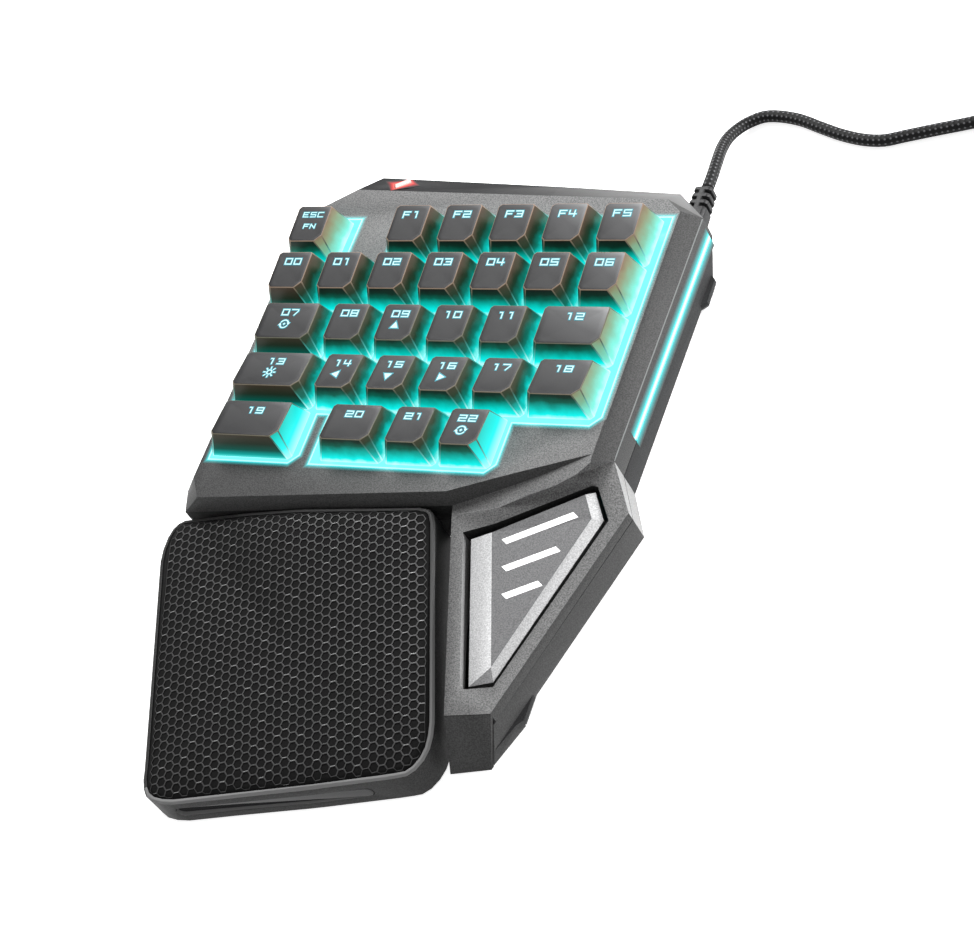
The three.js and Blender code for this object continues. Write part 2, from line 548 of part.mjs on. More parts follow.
// Top housing
const openingRim = atHeight(plan(OPENING_SHARES), 0);
const topFaces = [
  {
    outline: [
      P.DECK_I, P.DECK_H, P.DECK_N, P.DECK_G, P.DECK_K2, P.DECK_K1, P.DECK_E, P.DECK_D,
      P.DECK_C, P.DECK_M, P.DECK_B, P.DECK_A,
    ],
    holes: [openingRim],
  },
  [P.DECK_B, P.DECK_M, P.BAND_M, P.BAND_B],
  [P.DECK_M, P.DECK_C, P.BAND_C, P.BAND_M],
  [P.DECK_C, P.DECK_D, P.BAND_D, P.BAND_C],
  [P.DECK_D, P.DECK_E, P.RIDGE_6, P.RIDGE_P1, P.BAND_D],
  [P.DECK_I, P.APRON_I, P.APRON_H, P.DECK_H],
  [P.DECK_H, P.APRON_H, P.APRON_N, P.DECK_N],
  [P.DECK_N, P.APRON_N, P.APRON_G, P.DECK_G],
  [P.DECK_G, P.APRON_G, P.FOOT_2, P.DECK_K2],
  [P.DECK_K2, P.FOOT_2, P.FOOT_1, P.DECK_K1],
  [P.DECK_K1, P.FOOT_1, P.DECK_E],
  [P.APRON_G, P.RIDGE_0, P.RIDGE_1, P.RIDGE_2, P.FOOT_2],
  [P.FOOT_2, P.RIDGE_2, P.RIDGE_3, P.RIDGE_4, P.FOOT_1],
  [P.FOOT_1, P.RIDGE_4, P.RIDGE_5, P.RIDGE_6, P.DECK_E],
  [P.RIDGE_0, P.RECESS_TL, P.RECESS_T1, P.RIDGE_2, P.RIDGE_1],
  [P.RIDGE_2, P.RECESS_T1, P.RECESS_T2, P.RIDGE_5, P.RIDGE_4, P.RIDGE_3],
  [P.RIDGE_5, P.RECESS_T2, P.RECESS_TR, P.RIDGE_P1, P.RIDGE_6],
  [P.RIDGE_P1, P.RECESS_TR, P.RECESS_R, P.BLOCK_P2],
  [P.BLOCK_P2, P.RECESS_R, P.RECESS_C, P.BLOCK_P3],
  [P.BLOCK_P3, P.RECESS_C, P.RECESS_BL, P.RECESS_L, P.BLOCK_FL],
  [P.BLOCK_FL, P.RECESS_L, P.RECESS_TL, P.RIDGE_0],
];
const slabTopLeft = [...P.BLOCK_FL.slice(0, 2), P.BLOCK_FL[2] - SLAB_TOP_SINK];
const slabTopRight = [...P.BLOCK_P3.slice(0, 2), P.BLOCK_P3[2] - SLAB_TOP_SINK];
const slab = stack([
  [
    [...SLAB_FRONT_LEFT, LEVEL.SLAB_BOTTOM], [...SLAB_FRONT_RIGHT, LEVEL.SLAB_BOTTOM],
    P.SLAB_FOOT_RIGHT, P.SLAB_FOOT_LEFT,
  ],
  [slabTopLeft, slabTopRight, P.SLAB_RIGHT, P.SLAB_LEFT],
]);
const wallX = (y) =>
  P.BAND_D[0] + ((y - P.BAND_D[1]) * (P.BAND_D[0] - P.RIDGE_P1[0])) / (P.BAND_D[1] - P.RIDGE_P1[1]);
const stripShape = (gap, proud) => [
  [wallX(STRIP_FRONT_Y - gap) - STRIP_DEPTH - gap, STRIP_FRONT_Y - gap],
  [wallX(STRIP_FRONT_Y - gap) + proud, STRIP_FRONT_Y - gap],
  [wallX(STRIP_BACK_Y + gap) + proud, STRIP_BACK_Y + gap],
  [wallX(STRIP_BACK_Y + gap) - STRIP_DEPTH - gap, STRIP_BACK_Y + gap],
];
function lensShape(grow) {
  const dx = LENS_END[0] - LENS_START[0];
  const dy = LENS_END[1] - LENS_START[1];
  const length = Math.hypot(dx, dy);
  const u = [dx / length, dy / length];
  const half = LENS_WIDTH / 2 + grow;
  const point = (end, s, t) => [
    end[0] + u[0] * grow * s - u[1] * half * t,
    end[1] + u[1] * grow * s + u[0] * half * t,
  ];
  return [
    point(LENS_START, -1, -1), point(LENS_END, 1, -1), point(LENS_END, 1, 1),
    point(LENS_START, -1, 1),
  ];
}
const notch = [
  [RELIEF_X - NOTCH_HALF, NOTCH_FRONT_Y], [RELIEF_X + NOTCH_HALF, NOTCH_FRONT_Y],
  [RELIEF_X + NOTCH_HALF, RELIEF_TIP_Y], [RELIEF_X - NOTCH_HALF, RELIEF_TIP_Y],
];
let top = solid(roof(topFaces, LEVEL.SPLIT_Z)).add(solid(slab));
top = cut(top, [
  solid(prism(plan(CAVITY_SHARES), LEVEL.SPLIT_Z - OVERCUT, LEVEL.COLLAR_BOTTOM)),
  solid(prism(plan(BLOCK_CAVITY_SHARES), LEVEL.SPLIT_Z - OVERCUT, LEVEL.BLOCK_CAVITY_TOP)),
]);
top = join([
  top,
  ...SCREW_PLACES.map(([x, y, bossTop]) => solid(prism(circle(x, y, BOSS_RADIUS), LEVEL.SPLIT_Z, bossTop))),
]);
top = cut(top, [
  ...SCREW_PLACES.map(([x, y]) =>
    solid(prism(circle(x, y, BOSS_BORE_RADIUS), LEVEL.SPLIT_Z - OVERCUT, LEVEL.BOSS_BORE_TOP)),
  ),
  solid(prism(stripShape(FIT, OVERCUT), LEVEL.SPLIT_Z - OVERCUT, LEVEL.STRIP_TOP + FIT)),
  solid(prism(notch, LEVEL.SPLIT_Z - OVERCUT, NOTCH_TOP)),
  solid(prism(lensShape(FIT / 2), LEVEL.LENS_BOTTOM - FIT, OVERCUT)),
]);
place(caseGroup, "top_housing", geometryOf(top), "deck");

// Bottom housing
const rimTop = LEVEL.SPLIT_Z - FIT;
function behindSlab(z) {
  const edges = [[P.SLAB_FOOT_LEFT, P.SLAB_LEFT], [P.SLAB_FOOT_RIGHT, P.SLAB_RIGHT]];
  return edges.map(([foot, head]) => {
    const share = (z - foot[2]) / (head[2] - foot[2]);
    const y = foot[1] + (head[1] - foot[1]) * share + SLAB_REAR_GAP;
    return [foot[0] + (head[0] - foot[0]) * share, y];
  });
}
const caseOutline = (z, cornerD, cornerC) => [
  P.APRON_I, P.APRON_H, P.APRON_N, P.APRON_G, P.RIDGE_0, ...behindSlab(z), P.BLOCK_P2,
  P.RIDGE_P1, cornerD, cornerC, P.BAND_M, P.BAND_B, P.DECK_A, P.DECK_I,
];
const rimOutline = caseOutline(rimTop, P.BAND_D, P.BAND_C);
const floorOutline = caseOutline(LEVEL.FLOOR_BOTTOM, P.FLOOR_D, P.FLOOR_C);
const outlineAt = (z) => {
  const share = (z - LEVEL.FLOOR_BOTTOM) / (rimTop - LEVEL.FLOOR_BOTTOM);
  return floorOutline.map((p, i) => [
    p[0] + (rimOutline[i][0] - p[0]) * share,
    p[1] + (rimOutline[i][1] - p[1]) * share,
  ]);
};
const lobe = ([x, y, halfX, halfY, lowHalfX, lowHalfY]) => {
  const ring = (a, b, z) => atHeight(cutRectangle(x - a, x + a, y - b, y + b, evenCuts(b / 3)), z);
  return stack([
    ring(lowHalfX, lowHalfY, LEVEL.LOBE_BOTTOM),
    ring(halfX, halfY, LEVEL.FLOOR_BOTTOM),
    ring(halfX, halfY, LEVEL.FLOOR_TOP - FIT),
  ]);
};
const tray = (wall, low, high) =>
  solid(stack([low, high].map((z) => atHeight(inset(outlineAt(z), wall), z))));
const cheek = stack(
  [LEVEL.LOBE_BOTTOM, LEVEL.FLOOR_TOP - FIT].map((z) =>
    atHeight([...behindSlab(z), P.CHEEK_RIGHT, P.CHEEK_LEFT], z),
  ),
);
let bottom = tray(0, LEVEL.FLOOR_BOTTOM, rimTop).subtract(
  tray(WALL, LEVEL.FLOOR_TOP, rimTop + OVERCUT),
);
bottom = join([
  bottom,
  solid(cheek),
  ...LOBES.map((row) => solid(lobe(row))),
  ...SCREW_PLACES.map(([x, y]) => solid(prism(circle(x, y, POST_RADIUS), LEVEL.FLOOR_BOTTOM, rimTop))),
  ...plan(REST_POSTS_SHARES).map(([x, y]) =>
    solid(prism(circle(x, y, REST_POST_RADIUS, CABLE_SIDES), LEVEL.FLOOR_BOTTOM, LEVEL.REST_POST_TOP)),
  ),
  ...[-BEARING_OFFSET, BEARING_OFFSET].map((offset) =>
    solid(
      turnedBox(
        P.PIVOT, offset, BEARING_HALF_WIDTH, KNUCKLE_HALF_DEPTH, LEVEL.FLOOR_BOTTOM,
        LEVEL.BEARING_TOP,
      ),
    ),
  ),
]);
const footPocket = (x, y, radius, low) =>
  solid(
    prism(circle(x, y, radius + FOOT_FIT), low - OVERCUT, TABLE_Z + FOOT_THICKNESS + FOOT_FIT),
  );
bottom = cut(bottom, [
  ...SCREW_PLACES.map(([x, y]) =>
    solid(prism(circle(x, y, BOSS_BORE_RADIUS), LEVEL.FLOOR_BOTTOM - OVERCUT, rimTop + OVERCUT)),
  ),
  ...SCREW_PLACES.map(([x, y]) =>
    solid(prism(circle(x, y, HEAD_BORE_RADIUS), LEVEL.LOBE_BOTTOM - OVERCUT, LEVEL.HEAD_BORE_TOP)),
  ),
  ...LOBES.map(([x, y]) => footPocket(x, y, FOOT_RADIUS, LEVEL.LOBE_BOTTOM)),
  solid(pivotRod(BEARING_BORE_RADIUS, PIVOT_HALF_LENGTH + OVERCUT)),
]);
place(caseGroup, "bottom_housing", geometryOf(bottom), "base");

// Screws and feet of the case
SCREW_PLACES.forEach(([x, y], i) => {
  const ring = (radius, z) => atHeight(circle(x, y, radius, ROUND_STEPS / 2), z);
  const screw = stack(
    [
      ring(SCREW_HEAD_RADIUS, LEVEL.SCREW_HEAD_BOTTOM),
      ring(SCREW_HEAD_RADIUS, LEVEL.SCREW_HEAD_TOP),
      ring(SCREW_SHANK_RADIUS, LEVEL.SCREW_HEAD_TOP),
      ring(SCREW_SHANK_RADIUS, LEVEL.SCREW_TIP - SCREW_TAPER),
    ],
    [x, y, LEVEL.SCREW_HEAD_BOTTOM],
    [x, y, LEVEL.SCREW_TIP],
  );
  place(caseGroup, "case_screw_" + (i + 1), screw, "steel");
});
LOBES.forEach(([x, y], i) => {
  const foot = prism(circle(x, y, FOOT_RADIUS), TABLE_Z, TABLE_Z + FOOT_THICKNESS);
  place(caseGroup, "case_foot_" + (i + 1), foot, "rubber");
});

// Light strip and status lens
place(
  caseGroup,
  "right_light_strip",
  prism(stripShape(0, STRIP_PROUD), LEVEL.STRIP_BOTTOM, LEVEL.STRIP_TOP),
  "light",
);
place(caseGroup, "status_lens", prism(lensShape(0), LEVEL.LENS_BOTTOM, LEVEL.LENS_TOP), "lens");

// Key places
const keyPlaces = KEYS.map(([name, row, from, to, trimmed]) => {
  const left = from * KEY_PITCH + CAP_GAP + (trimmed ? LEFT_TRIM : 0);
  const right = to * KEY_PITCH - CAP_GAP;
  return { name, row, left, right, x: (left + right) / 2, y: -row * KEY_PITCH };
});

// Plate, dome sheet, board and ballast under the keys
const plate = cut(
  solid(prism(plan(PLATE_OUTLINE_SHARES), LEVEL.PLATE_BOTTOM, LEVEL.PLATE_TOP)),
  keyPlaces.map(({ x, y }) => {
    const hole = rectangle(x, y, STEM_HOLE_HALF, STEM_HOLE_HALF);
    return solid(prism(hole, LEVEL.PLATE_BOTTOM - OVERCUT, LEVEL.PLATE_TOP + OVERCUT));
  }),
);
place(caseGroup, "key_plate", geometryOf(plate), "steel");
const dome = (x, y, footRadius, topRadius, low, high) =>
  stack([
    atHeight(circle(x, y, footRadius, CABLE_SIDES), low),
    atHeight(circle(x, y, topRadius, CABLE_SIDES), high),
  ]);
const sheet = join([
  solid(prism(plan(BOARD_OUTLINE_SHARES), LEVEL.DOME_SHEET_BOTTOM, LEVEL.DOME_SHEET_TOP)),
  ...keyPlaces.map(({ x, y }) =>
    solid(dome(x, y, DOME_FOOT_RADIUS, DOME_TOP_RADIUS, LEVEL.DOME_SHEET_TOP - FIT, LEVEL.DOME_TOP)),
  ),
]);
place(caseGroup, "dome_sheet", geometryOf(sheet), "silicone");
const boardOutline = plan(BOARD_OUTLINE_SHARES);
place(caseGroup, "circuit_board", prism(boardOutline, LEVEL.BOARD_BOTTOM, LEVEL.BOARD_TOP), "board");
place(
  caseGroup, "ballast_plate", prism(boardOutline, LEVEL.BALLAST_BOTTOM, LEVEL.BALLAST_TOP), "steel",
);

// Keycaps
function keycap({ row, left, right, x, y }) {
  const backZ = ROW_BACK_HEIGHTS[row];
  const frontZ = ROW_FRONT_HEIGHTS[row];
  const slope = (backZ - frontZ) / (CAP_TOP_BACK - CAP_TOP_FRONT);
  const topZ = (py) => frontZ + (py - y - CAP_TOP_FRONT) * slope;
  const topLeft = left + CAP_SIDE_TAPER;
  const topRight = right - CAP_SIDE_TAPER;
  const edge = cutRectangle(topLeft, topRight, y + CAP_TOP_FRONT, y + CAP_TOP_BACK, CAP_TOP_CUTS);
  const midY = y + (CAP_TOP_BACK + CAP_TOP_FRONT) / 2;
  const lift = (points, drop) => points.map((p) => [p[0], p[1], topZ(p[1]) - drop]);
  const dishRing = edge.map((p) => [
    x + (p[0] - x) * CAP_DISH_SHARE,
    midY + (p[1] - midY) * CAP_DISH_SHARE,
  ]);
  const base = cutRectangle(left, right, y - CAP_HALF_DEPTH, y + CAP_HALF_DEPTH, CAP_BASE_CUTS);
  const inner = (l, r, f, b) =>
    cutRectangle(l + CAP_WALL, r - CAP_WALL, f + CAP_WALL, b - CAP_WALL, evenCuts(CAP_INNER_CUT));
  const ceiling = Math.min(backZ, frontZ) - CAP_ROOF;
  const stem = cutRectangle(
    x - STEM_HALF, x + STEM_HALF, y - STEM_HALF, y + STEM_HALF, evenCuts(STEM_CUT),
  );
  return stack(
    [
      lift(dishRing, CAP_DISH * CAP_DISH_RING_SHARE),
      lift(edge, 0),
      atHeight(base, CAP_BASE_Z),
      atHeight(inner(left, right, y - CAP_HALF_DEPTH, y + CAP_HALF_DEPTH), CAP_BASE_Z),
      atHeight(inner(topLeft, topRight, y + CAP_TOP_FRONT, y + CAP_TOP_BACK), ceiling),
      atHeight(stem, ceiling),
      atHeight(stem, LEVEL.STEM_BOTTOM),
    ],
    [x, midY, topZ(midY) - CAP_DISH],
    [x, y, LEVEL.STEM_BOTTOM],
  );
}
for (const spot of keyPlaces) {
  place(keyGroup, spot.name, keycap(spot), "keycap");
}

// Thumb key with its knuckle, pivot pin and rubber dome
const thumbTop = roof(
  [
    [P.THUMB_1, P.THUMB_7, P.THUMB_B, P.THUMB_2],
    [P.THUMB_2, P.THUMB_B, P.THUMB_A, P.THUMB_3],
    [P.THUMB_3, P.THUMB_A, P.THUMB_B, P.THUMB_6, P.THUMB_5, P.THUMB_4],
    [P.THUMB_7, P.THUMB_6, P.THUMB_B],
  ],
  LEVEL.THUMB_FLOOR,
);
const knuckle = turnedBox(
  P.PIVOT, 0, KNUCKLE_HALF_WIDTH, KNUCKLE_HALF_DEPTH, LEVEL.KNUCKLE_BOTTOM, LEVEL.THUMB_FLOOR + FIT,
);
const thumb = solid(thumbTop)
  .add(solid(knuckle))
  .subtract(solid(pivotRod(KNUCKLE_BORE_RADIUS, PIVOT_HALF_LENGTH)));
place(keyGroup, "thumb_key", geometryOf(thumb), "thumb");
place(caseGroup, "thumb_pivot_pin", pivotRod(PIVOT_RADIUS, PIVOT_HALF_LENGTH), "steel");
place(
  caseGroup,
  "thumb_dome",
  dome(
    ...THUMB_DOME_PLACE, THUMB_DOME_FOOT_RADIUS, THUMB_DOME_TOP_RADIUS, LEVEL.FLOOR_TOP + FIT,
    LEVEL.THUMB_DOME_TOP,
  ),
  "silicone",
);

// Palm rest, each corner of its outline cut to two
const palmEdge = PALM_EDGE.flatMap((p, i) =>
  [PALM_EDGE.at(i - 1), PALM_EDGE[(i + 1) % PALM_EDGE.length]].map((q) => {
    const share = Math.min(SOFT_SHARE, SOFT_REACH / Math.hypot(q[0] - p[0], q[1] - p[1]));
    return p.map((v, k) => v + (q[k] - v) * share);
  }),
);
const innerEdge = inset(palmEdge, FRAME_WIDTH);
const lowered = (points, drop) => points.map((p) => [p[0], p[1], p[2] - drop]);
let palm = solid(
  stack([
    atHeight(palmEdge, LEVEL.PALM_BOTTOM),
    lowered(palmEdge, FRAME_BEVEL),
    inset(palmEdge, FRAME_BEVEL),
    innerEdge,
    lowered(innerEdge, POCKET_DEPTH),
  ]),
);
function pill(grow, sink, depth) {
  const run = new THREE.Vector3(PILL_END[0] - PILL_START[0], PILL_END[1] - PILL_START[1], 0);
  const half = PILL_HEIGHT / 2;
  const straight = run.length() / 2 - half;
  run.normalize();
  const outward = new THREE.Vector3(run.y, -run.x, 0);
  const ring = [];
  for (const side of [1, -1]) {
    for (let i = 0; i <= PILL_STEPS; i++) {
      const angle = (i / PILL_STEPS - 1 / 2) * Math.PI + (side > 0 ? 0 : Math.PI);
      ring.push([side * straight + (half + grow) * Math.cos(angle), (half + grow) * Math.sin(angle)]);
    }
  }
  const middle = new THREE.Vector3(
    (PILL_START[0] + PILL_END[0]) / 2, (PILL_START[1] + PILL_END[1]) / 2, LEVEL.PILL_TOP - half,
  );
  const at = ([s, z], back) => {
    const p = middle.clone().addScaledVector(run, s).addScaledVector(outward, -back);
    return [p.x, p.y, p.z + z];
  };
  const outer = ring.map((p) => at(p, sink));
  const back = ring.map((p) => at(p, sink + depth));
  return stack([outer, back], at([0, 0], sink), at([0, 0], sink + depth));
}
const palmPad = (p, grow, low) =>
  turnedBox(
    p, 0, PALM_FOOT_HALF[0] + grow, PALM_FOOT_HALF[1] + grow, low,
    TABLE_Z + FOOT_THICKNESS + grow,
  );
palm = cut(palm, [
  solid(pill(0, -OVERCUT, OVERCUT + PILL_DEPTH)),
  ...plan(PALM_FEET_SHARES).map((p) => solid(palmPad(p, FOOT_FIT, LEVEL.PALM_BOTTOM - OVERCUT))),
]);
place(palmGroup, "palm_rest_base", geometryOf(palm), "frame");
place(palmGroup, "palm_rest_insert", pill(-INSERT_FIT, INSERT_SINK, INSERT_THICKNESS), "gloss");
const padEdge = inset(palmEdge, FRAME_WIDTH + PAD_FIT);
const padRing = (share, rise) =>
  padEdge.map((p) => [
    PALM_CENTRE[0] + (p[0] - PALM_CENTRE[0]) * share,
    PALM_CENTRE[1] + (p[1] - PALM_CENTRE[1]) * share,
    PALM_CENTRE[2] + (p[2] - PALM_CENTRE[2]) * share + rise,
  ]);
const pad = stack(
  [
    lowered(padEdge, POCKET_DEPTH - PAD_FIT),
    lowered(padEdge, PAD_SINK),
    ...PAD_RING_SHARES.map((share, i) => padRing(share, PAD_CROWN * PAD_RISE_SHARES[i])),
  ],
  null,
  [PALM_CENTRE[0], PALM_CENTRE[1], PALM_CENTRE[2] + PAD_CROWN],
);
place(palmGroup, "palm_rest_pad", pad, "pad");
plan(PALM_FEET_SHARES).forEach((p, i) => {
  place(palmGroup, "palm_foot_" + (i + 1), palmPad(p, 0, TABLE_Z), "rubber");
});

// Strain relief with its grooves
const reliefRing = (half, y) =>
  cutRectangle(-half[0], half[0], -half[1], half[1], evenCuts(RELIEF_CUT)).map(([x, z]) => [
    RELIEF_X + x, y, RELIEF_Z + z,
  ]);
let relief = solid(
  stack(
    [reliefRing(RELIEF_ROOT_HALF, RELIEF_ROOT_Y), reliefRing(RELIEF_TIP_HALF, RELIEF_TIP_Y)],
    [RELIEF_X, RELIEF_ROOT_Y, RELIEF_Z],
    [RELIEF_X, RELIEF_TIP_Y, RELIEF_Z],
  ),
);
for (let i = 0; i < RELIEF_SLOTS; i++) {
  for (const side of [-1, 1]) {
    const x = RELIEF_X + side * (RELIEF_WEB_HALF + NOTCH_HALF / 2);
    const y = RELIEF_SLOT_FIRST_Y + i * RELIEF_SLOT_PITCH;
    const slot = rectangle(x, y, NOTCH_HALF / 2, RELIEF_SLOT_WIDTH / 2);
    relief = relief.subtract(solid(prism(slot, RELIEF_Z - NOTCH_HALF, RELIEF_Z + NOTCH_HALF)));
  }
}
place(cordGroup, "strain_relief", geometryOf(relief), "rubber");

// A tube along a list of points, each ring square to the path
function tube(points, radius, sides) {
  const path = points.map((p) => new THREE.Vector3(...p));
  const rings = path.map((p, i) => {
    const before = path[Math.max(i - 1, 0)];
    const after = path[Math.min(i + 1, path.length - 1)];
    const heading = after.clone().sub(before).normalize();
    const side = new THREE.Vector3(-heading.y, heading.x, 0).normalize();
    const up = new THREE.Vector3().crossVectors(heading, side).normalize();
    return Array.from({ length: sides }, (_, k) => {
      const angle = ((k + 1 / 2) / sides) * Math.PI * 2;
      const q = p.clone();
      q.addScaledVector(side, radius * Math.cos(angle));
      q.addScaledVector(up, radius * Math.sin(angle));
      return [q.x, q.y, q.z];
    });
  });
  const end = points[points.length - 1];
  return stack(rings, points[0], end);
}

// Free stretch of the cable, then the coil it ends in
const last = CABLE_ROUTE[CABLE_ROUTE.length - 1];
const near = CABLE_ROUTE[CABLE_ROUTE.length - 2];
const heading = new THREE.Vector2(last[0] - near[0], last[1] - near[1]).normalize();
const entryAngle = Math.atan2(heading.x, -heading.y);
const coilLowZ = TABLE_Z + CABLE_RADIUS + COIL_LIFT;
const entry = [
  COIL_CENTRE[0] + COIL_RADIUS * Math.cos(entryAngle),
  COIL_CENTRE[1] + COIL_RADIUS * Math.sin(entryAngle),
];
const before = (distance) => [
  entry[0] - heading.x * distance, entry[1] - heading.y * distance, coilLowZ,
];
const route = [
  ...CABLE_ROUTE, before(COIL_LEAD * 3), before(COIL_LEAD + CABLE_END_GAP),
].map((p) => new THREE.Vector3(...p));
const curve = new THREE.CatmullRomCurve3(route, false, "centripetal");
const section = new THREE.Shape(
  circle(0, 0, CABLE_RADIUS, CABLE_SIDES).map((p) => new THREE.Vector2(...p)),
);
const run = new THREE.ExtrudeGeometry(section, {
  steps: CABLE_STEPS,
  extrudePath: curve,
  bevelEnabled: false,
});
place(cordGroup, "cable_run", geometryOf(solid(run)), "cable");

// The coil: a spiral in and out again, layer on layer
const turnsInAll = COIL_LAYERS * COIL_LAYER_TURNS;
const smooth = (t) => THREE.MathUtils.smoothstep(t, 0, 1);
function coilPoint(turns) {
  const layer = Math.min(Math.floor(turns / COIL_LAYER_TURNS), COIL_LAYERS - 1);
  const inLayer = turns - layer * COIL_LAYER_TURNS;
  const inward = layer % 2 ? COIL_LAYER_TURNS - inLayer : inLayer;
  let climbed = layer;
  const half = COIL_CLIMB_TURNS / 2;
  if (inLayer < half && layer > 0) climbed += smooth(1 / 2 + inLayer / COIL_CLIMB_TURNS) - 1;
  const left = COIL_LAYER_TURNS - inLayer;
  if (left < half && layer < COIL_LAYERS - 1) climbed += smooth(1 / 2 - left / COIL_CLIMB_TURNS);
  const radius = COIL_RADIUS - COIL_TURN_PITCH * inward;
  const angle = entryAngle - turns * Math.PI * 2;
  return [
    COIL_CENTRE[0] + radius * Math.cos(angle),
    COIL_CENTRE[1] + radius * Math.sin(angle),
    coilLowZ + COIL_LAYER_PITCH * climbed,
  ];
}
const coilSteps = Math.round(turnsInAll * COIL_STEPS_PER_TURN);
const wound = Array.from({ length: coilSteps + 1 }, (_, i) => coilPoint((i / coilSteps) * turnsInAll));
const exitAngle = entryAngle - turnsInAll * Math.PI * 2;
const exit = wound[wound.length - 1];
const exitHeading = [Math.sin(exitAngle), -Math.cos(exitAngle)];
const plugZ = TABLE_Z + GRIP_HEIGHT / 2;
const tailPoint = (distance) => {
  const t = Math.min(distance / (TAIL_LENGTH - COIL_LEAD), 1);
  return [
    exit[0] + exitHeading[0] * distance,
    exit[1] + exitHeading[1] * distance,
    exit[2] + (plugZ - exit[2]) * smooth(t),
  ];
};
const tail = Array.from({ length: TAIL_STEPS }, (_, i) =>
  tailPoint(((i + 1) / TAIL_STEPS) * TAIL_LENGTH),
);
const coil = tube([before(COIL_LEAD), ...wound, ...tail], CABLE_RADIUS, COIL_SIDES);
place(cordGroup, "cable_coil", coil, "cable");

// Least gap of the coil to itself, measured between its centre points
let leastGap = Infinity;
for (let i = 0; i < wound.length; i++) {
  for (let j = i + COIL_STEPS_PER_TURN / 2; j < wound.length; j++) {
    const d = Math.hypot(...wound[i].map((v, k) => v - wound[j][k]));
    leastGap = Math.min(leastGap, d - CABLE_RADIUS * 2);
  }
}
const woundLength = wound.reduce(
  (sum, p, i) => (i ? sum + Math.hypot(...p.map((v, k) => v - wound[i - 1][k])) : 0), 0,
);
console.log("coil least self gap", leastGap.toFixed(2), "mm");
console.log("cable length", (curve.getLength() + woundLength + TAIL_LENGTH).toFixed(0), "mm");

// Tie round the coil
const tieAngle = THREE.MathUtils.degToRad(TIE_ANGLE_DEG);
const bundleIn = COIL_RADIUS - COIL_TURN_PITCH * COIL_LAYER_TURNS - CABLE_RADIUS - TIE_CLEARANCE;
const bundleOut = COIL_RADIUS + CABLE_RADIUS + TIE_CLEARANCE;
const bundleLow = coilLowZ - CABLE_RADIUS - TIE_CLEARANCE;
const bundleHigh =
  coilLowZ + COIL_LAYER_PITCH * (COIL_LAYERS - 1) + CABLE_RADIUS + TIE_CLEARANCE;
const tieBox = (grow, halfWidth) => {
  const ring = (t) =>
    [
      [bundleIn - grow, bundleLow - grow], [bundleOut + grow, bundleLow - grow],
      [bundleOut + grow, bundleHigh + grow], [bundleIn - grow, bundleHigh + grow],
    ].map(([r, z]) => [
      COIL_CENTRE[0] + r * Math.cos(tieAngle) - t * Math.sin(tieAngle),
      COIL_CENTRE[1] + r * Math.sin(tieAngle) + t * Math.cos(tieAngle),
      z,
    ]);
  const centreAt = (t) => {
    const corners = ring(t);
    return [0, 1, 2].map((k) => (corners[0][k] + corners[2][k]) / 2);
  };
  return stack(
    [ring(-halfWidth), ring(halfWidth)], centreAt(-halfWidth), centreAt(halfWidth),
  );
};
const tie = solid(tieBox(TIE_THICKNESS, TIE_WIDTH / 2)).subtract(
  solid(tieBox(0, TIE_WIDTH / 2 + OVERCUT)),
);
place(cordGroup, "cable_tie", geometryOf(tie), "rubber");

// Plug: its grip and its metal shell, lying on the table
const plugRing = (distance, halfWidth, halfHeight, corner) =>
  cutRectangle(-halfWidth, halfWidth, -halfHeight, halfHeight, evenCuts(corner)).map(([s, z]) => [
    exit[0] + exitHeading[0] * distance - exitHeading[1] * s,
    exit[1] + exitHeading[1] * distance + exitHeading[0] * s,
    plugZ + z,
  ]);
const plugCentre = (distance) => [
  exit[0] + exitHeading[0] * distance, exit[1] + exitHeading[1] * distance, plugZ,
];
const gripStart = TAIL_LENGTH + CABLE_END_GAP;
const gripEnd = gripStart + GRIP_LENGTH;
const neckHalf = (GRIP_WIDTH / 2) * GRIP_NECK_SHARE;
place(
  cordGroup,
  "usb_plug_grip",
  stack(
    [
      plugRing(gripStart, neckHalf, (GRIP_HEIGHT / 2) * (1 - GRIP_NECK_SHARE / 3), GRIP_CUT),
      plugRing(gripStart + GRIP_NECK_LENGTH, GRIP_WIDTH / 2, GRIP_HEIGHT / 2, GRIP_CUT),
      plugRing(gripEnd, GRIP_WIDTH / 2, GRIP_HEIGHT / 2, GRIP_CUT),
    ],
    plugCentre(gripStart),
    plugCentre(gripEnd),
  ),
  "rubber",
);
const shellStart = gripEnd + SHELL_GAP;
const shellEnd = shellStart + SHELL_LENGTH;
const shellRing = (distance, wall) =>
  plugRing(distance, SHELL_WIDTH / 2 - wall, SHELL_HEIGHT / 2 - wall, SHELL_WALL / 2);
const shell = solid(
  stack(
    [shellRing(shellStart, 0), shellRing(shellEnd, 0)],
    plugCentre(shellStart),
    plugCentre(shellEnd),
  ),
).subtract(
  solid(
    stack(
      [shellRing(shellEnd - SHELL_MOUTH_DEPTH, SHELL_WALL), shellRing(shellEnd + OVERCUT, SHELL_WALL)],
      plugCentre(shellEnd - SHELL_MOUTH_DEPTH),
      plugCentre(shellEnd + OVERCUT),
    ),
  ),
);
place(cordGroup, "usb_plug_shell", geometryOf(shell), "steel");

// The part's origin: the middle of the body without its cord, on the table
const body = new THREE.Box3();
for (const group of [caseGroup, keyGroup, palmGroup]) {
  body.expandByObject(group);
}
root.position.set(-(body.min.x + body.max.x) / 2, -(body.min.y + body.max.y) / 2, -body.min.z);

export default root;
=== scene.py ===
"""Looks of the one-handed gaming keypad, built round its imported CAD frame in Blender."""

import math

import bmesh
import bpy
from mathutils import Matrix, Vector
from mathutils.bvhtree import BVHTree


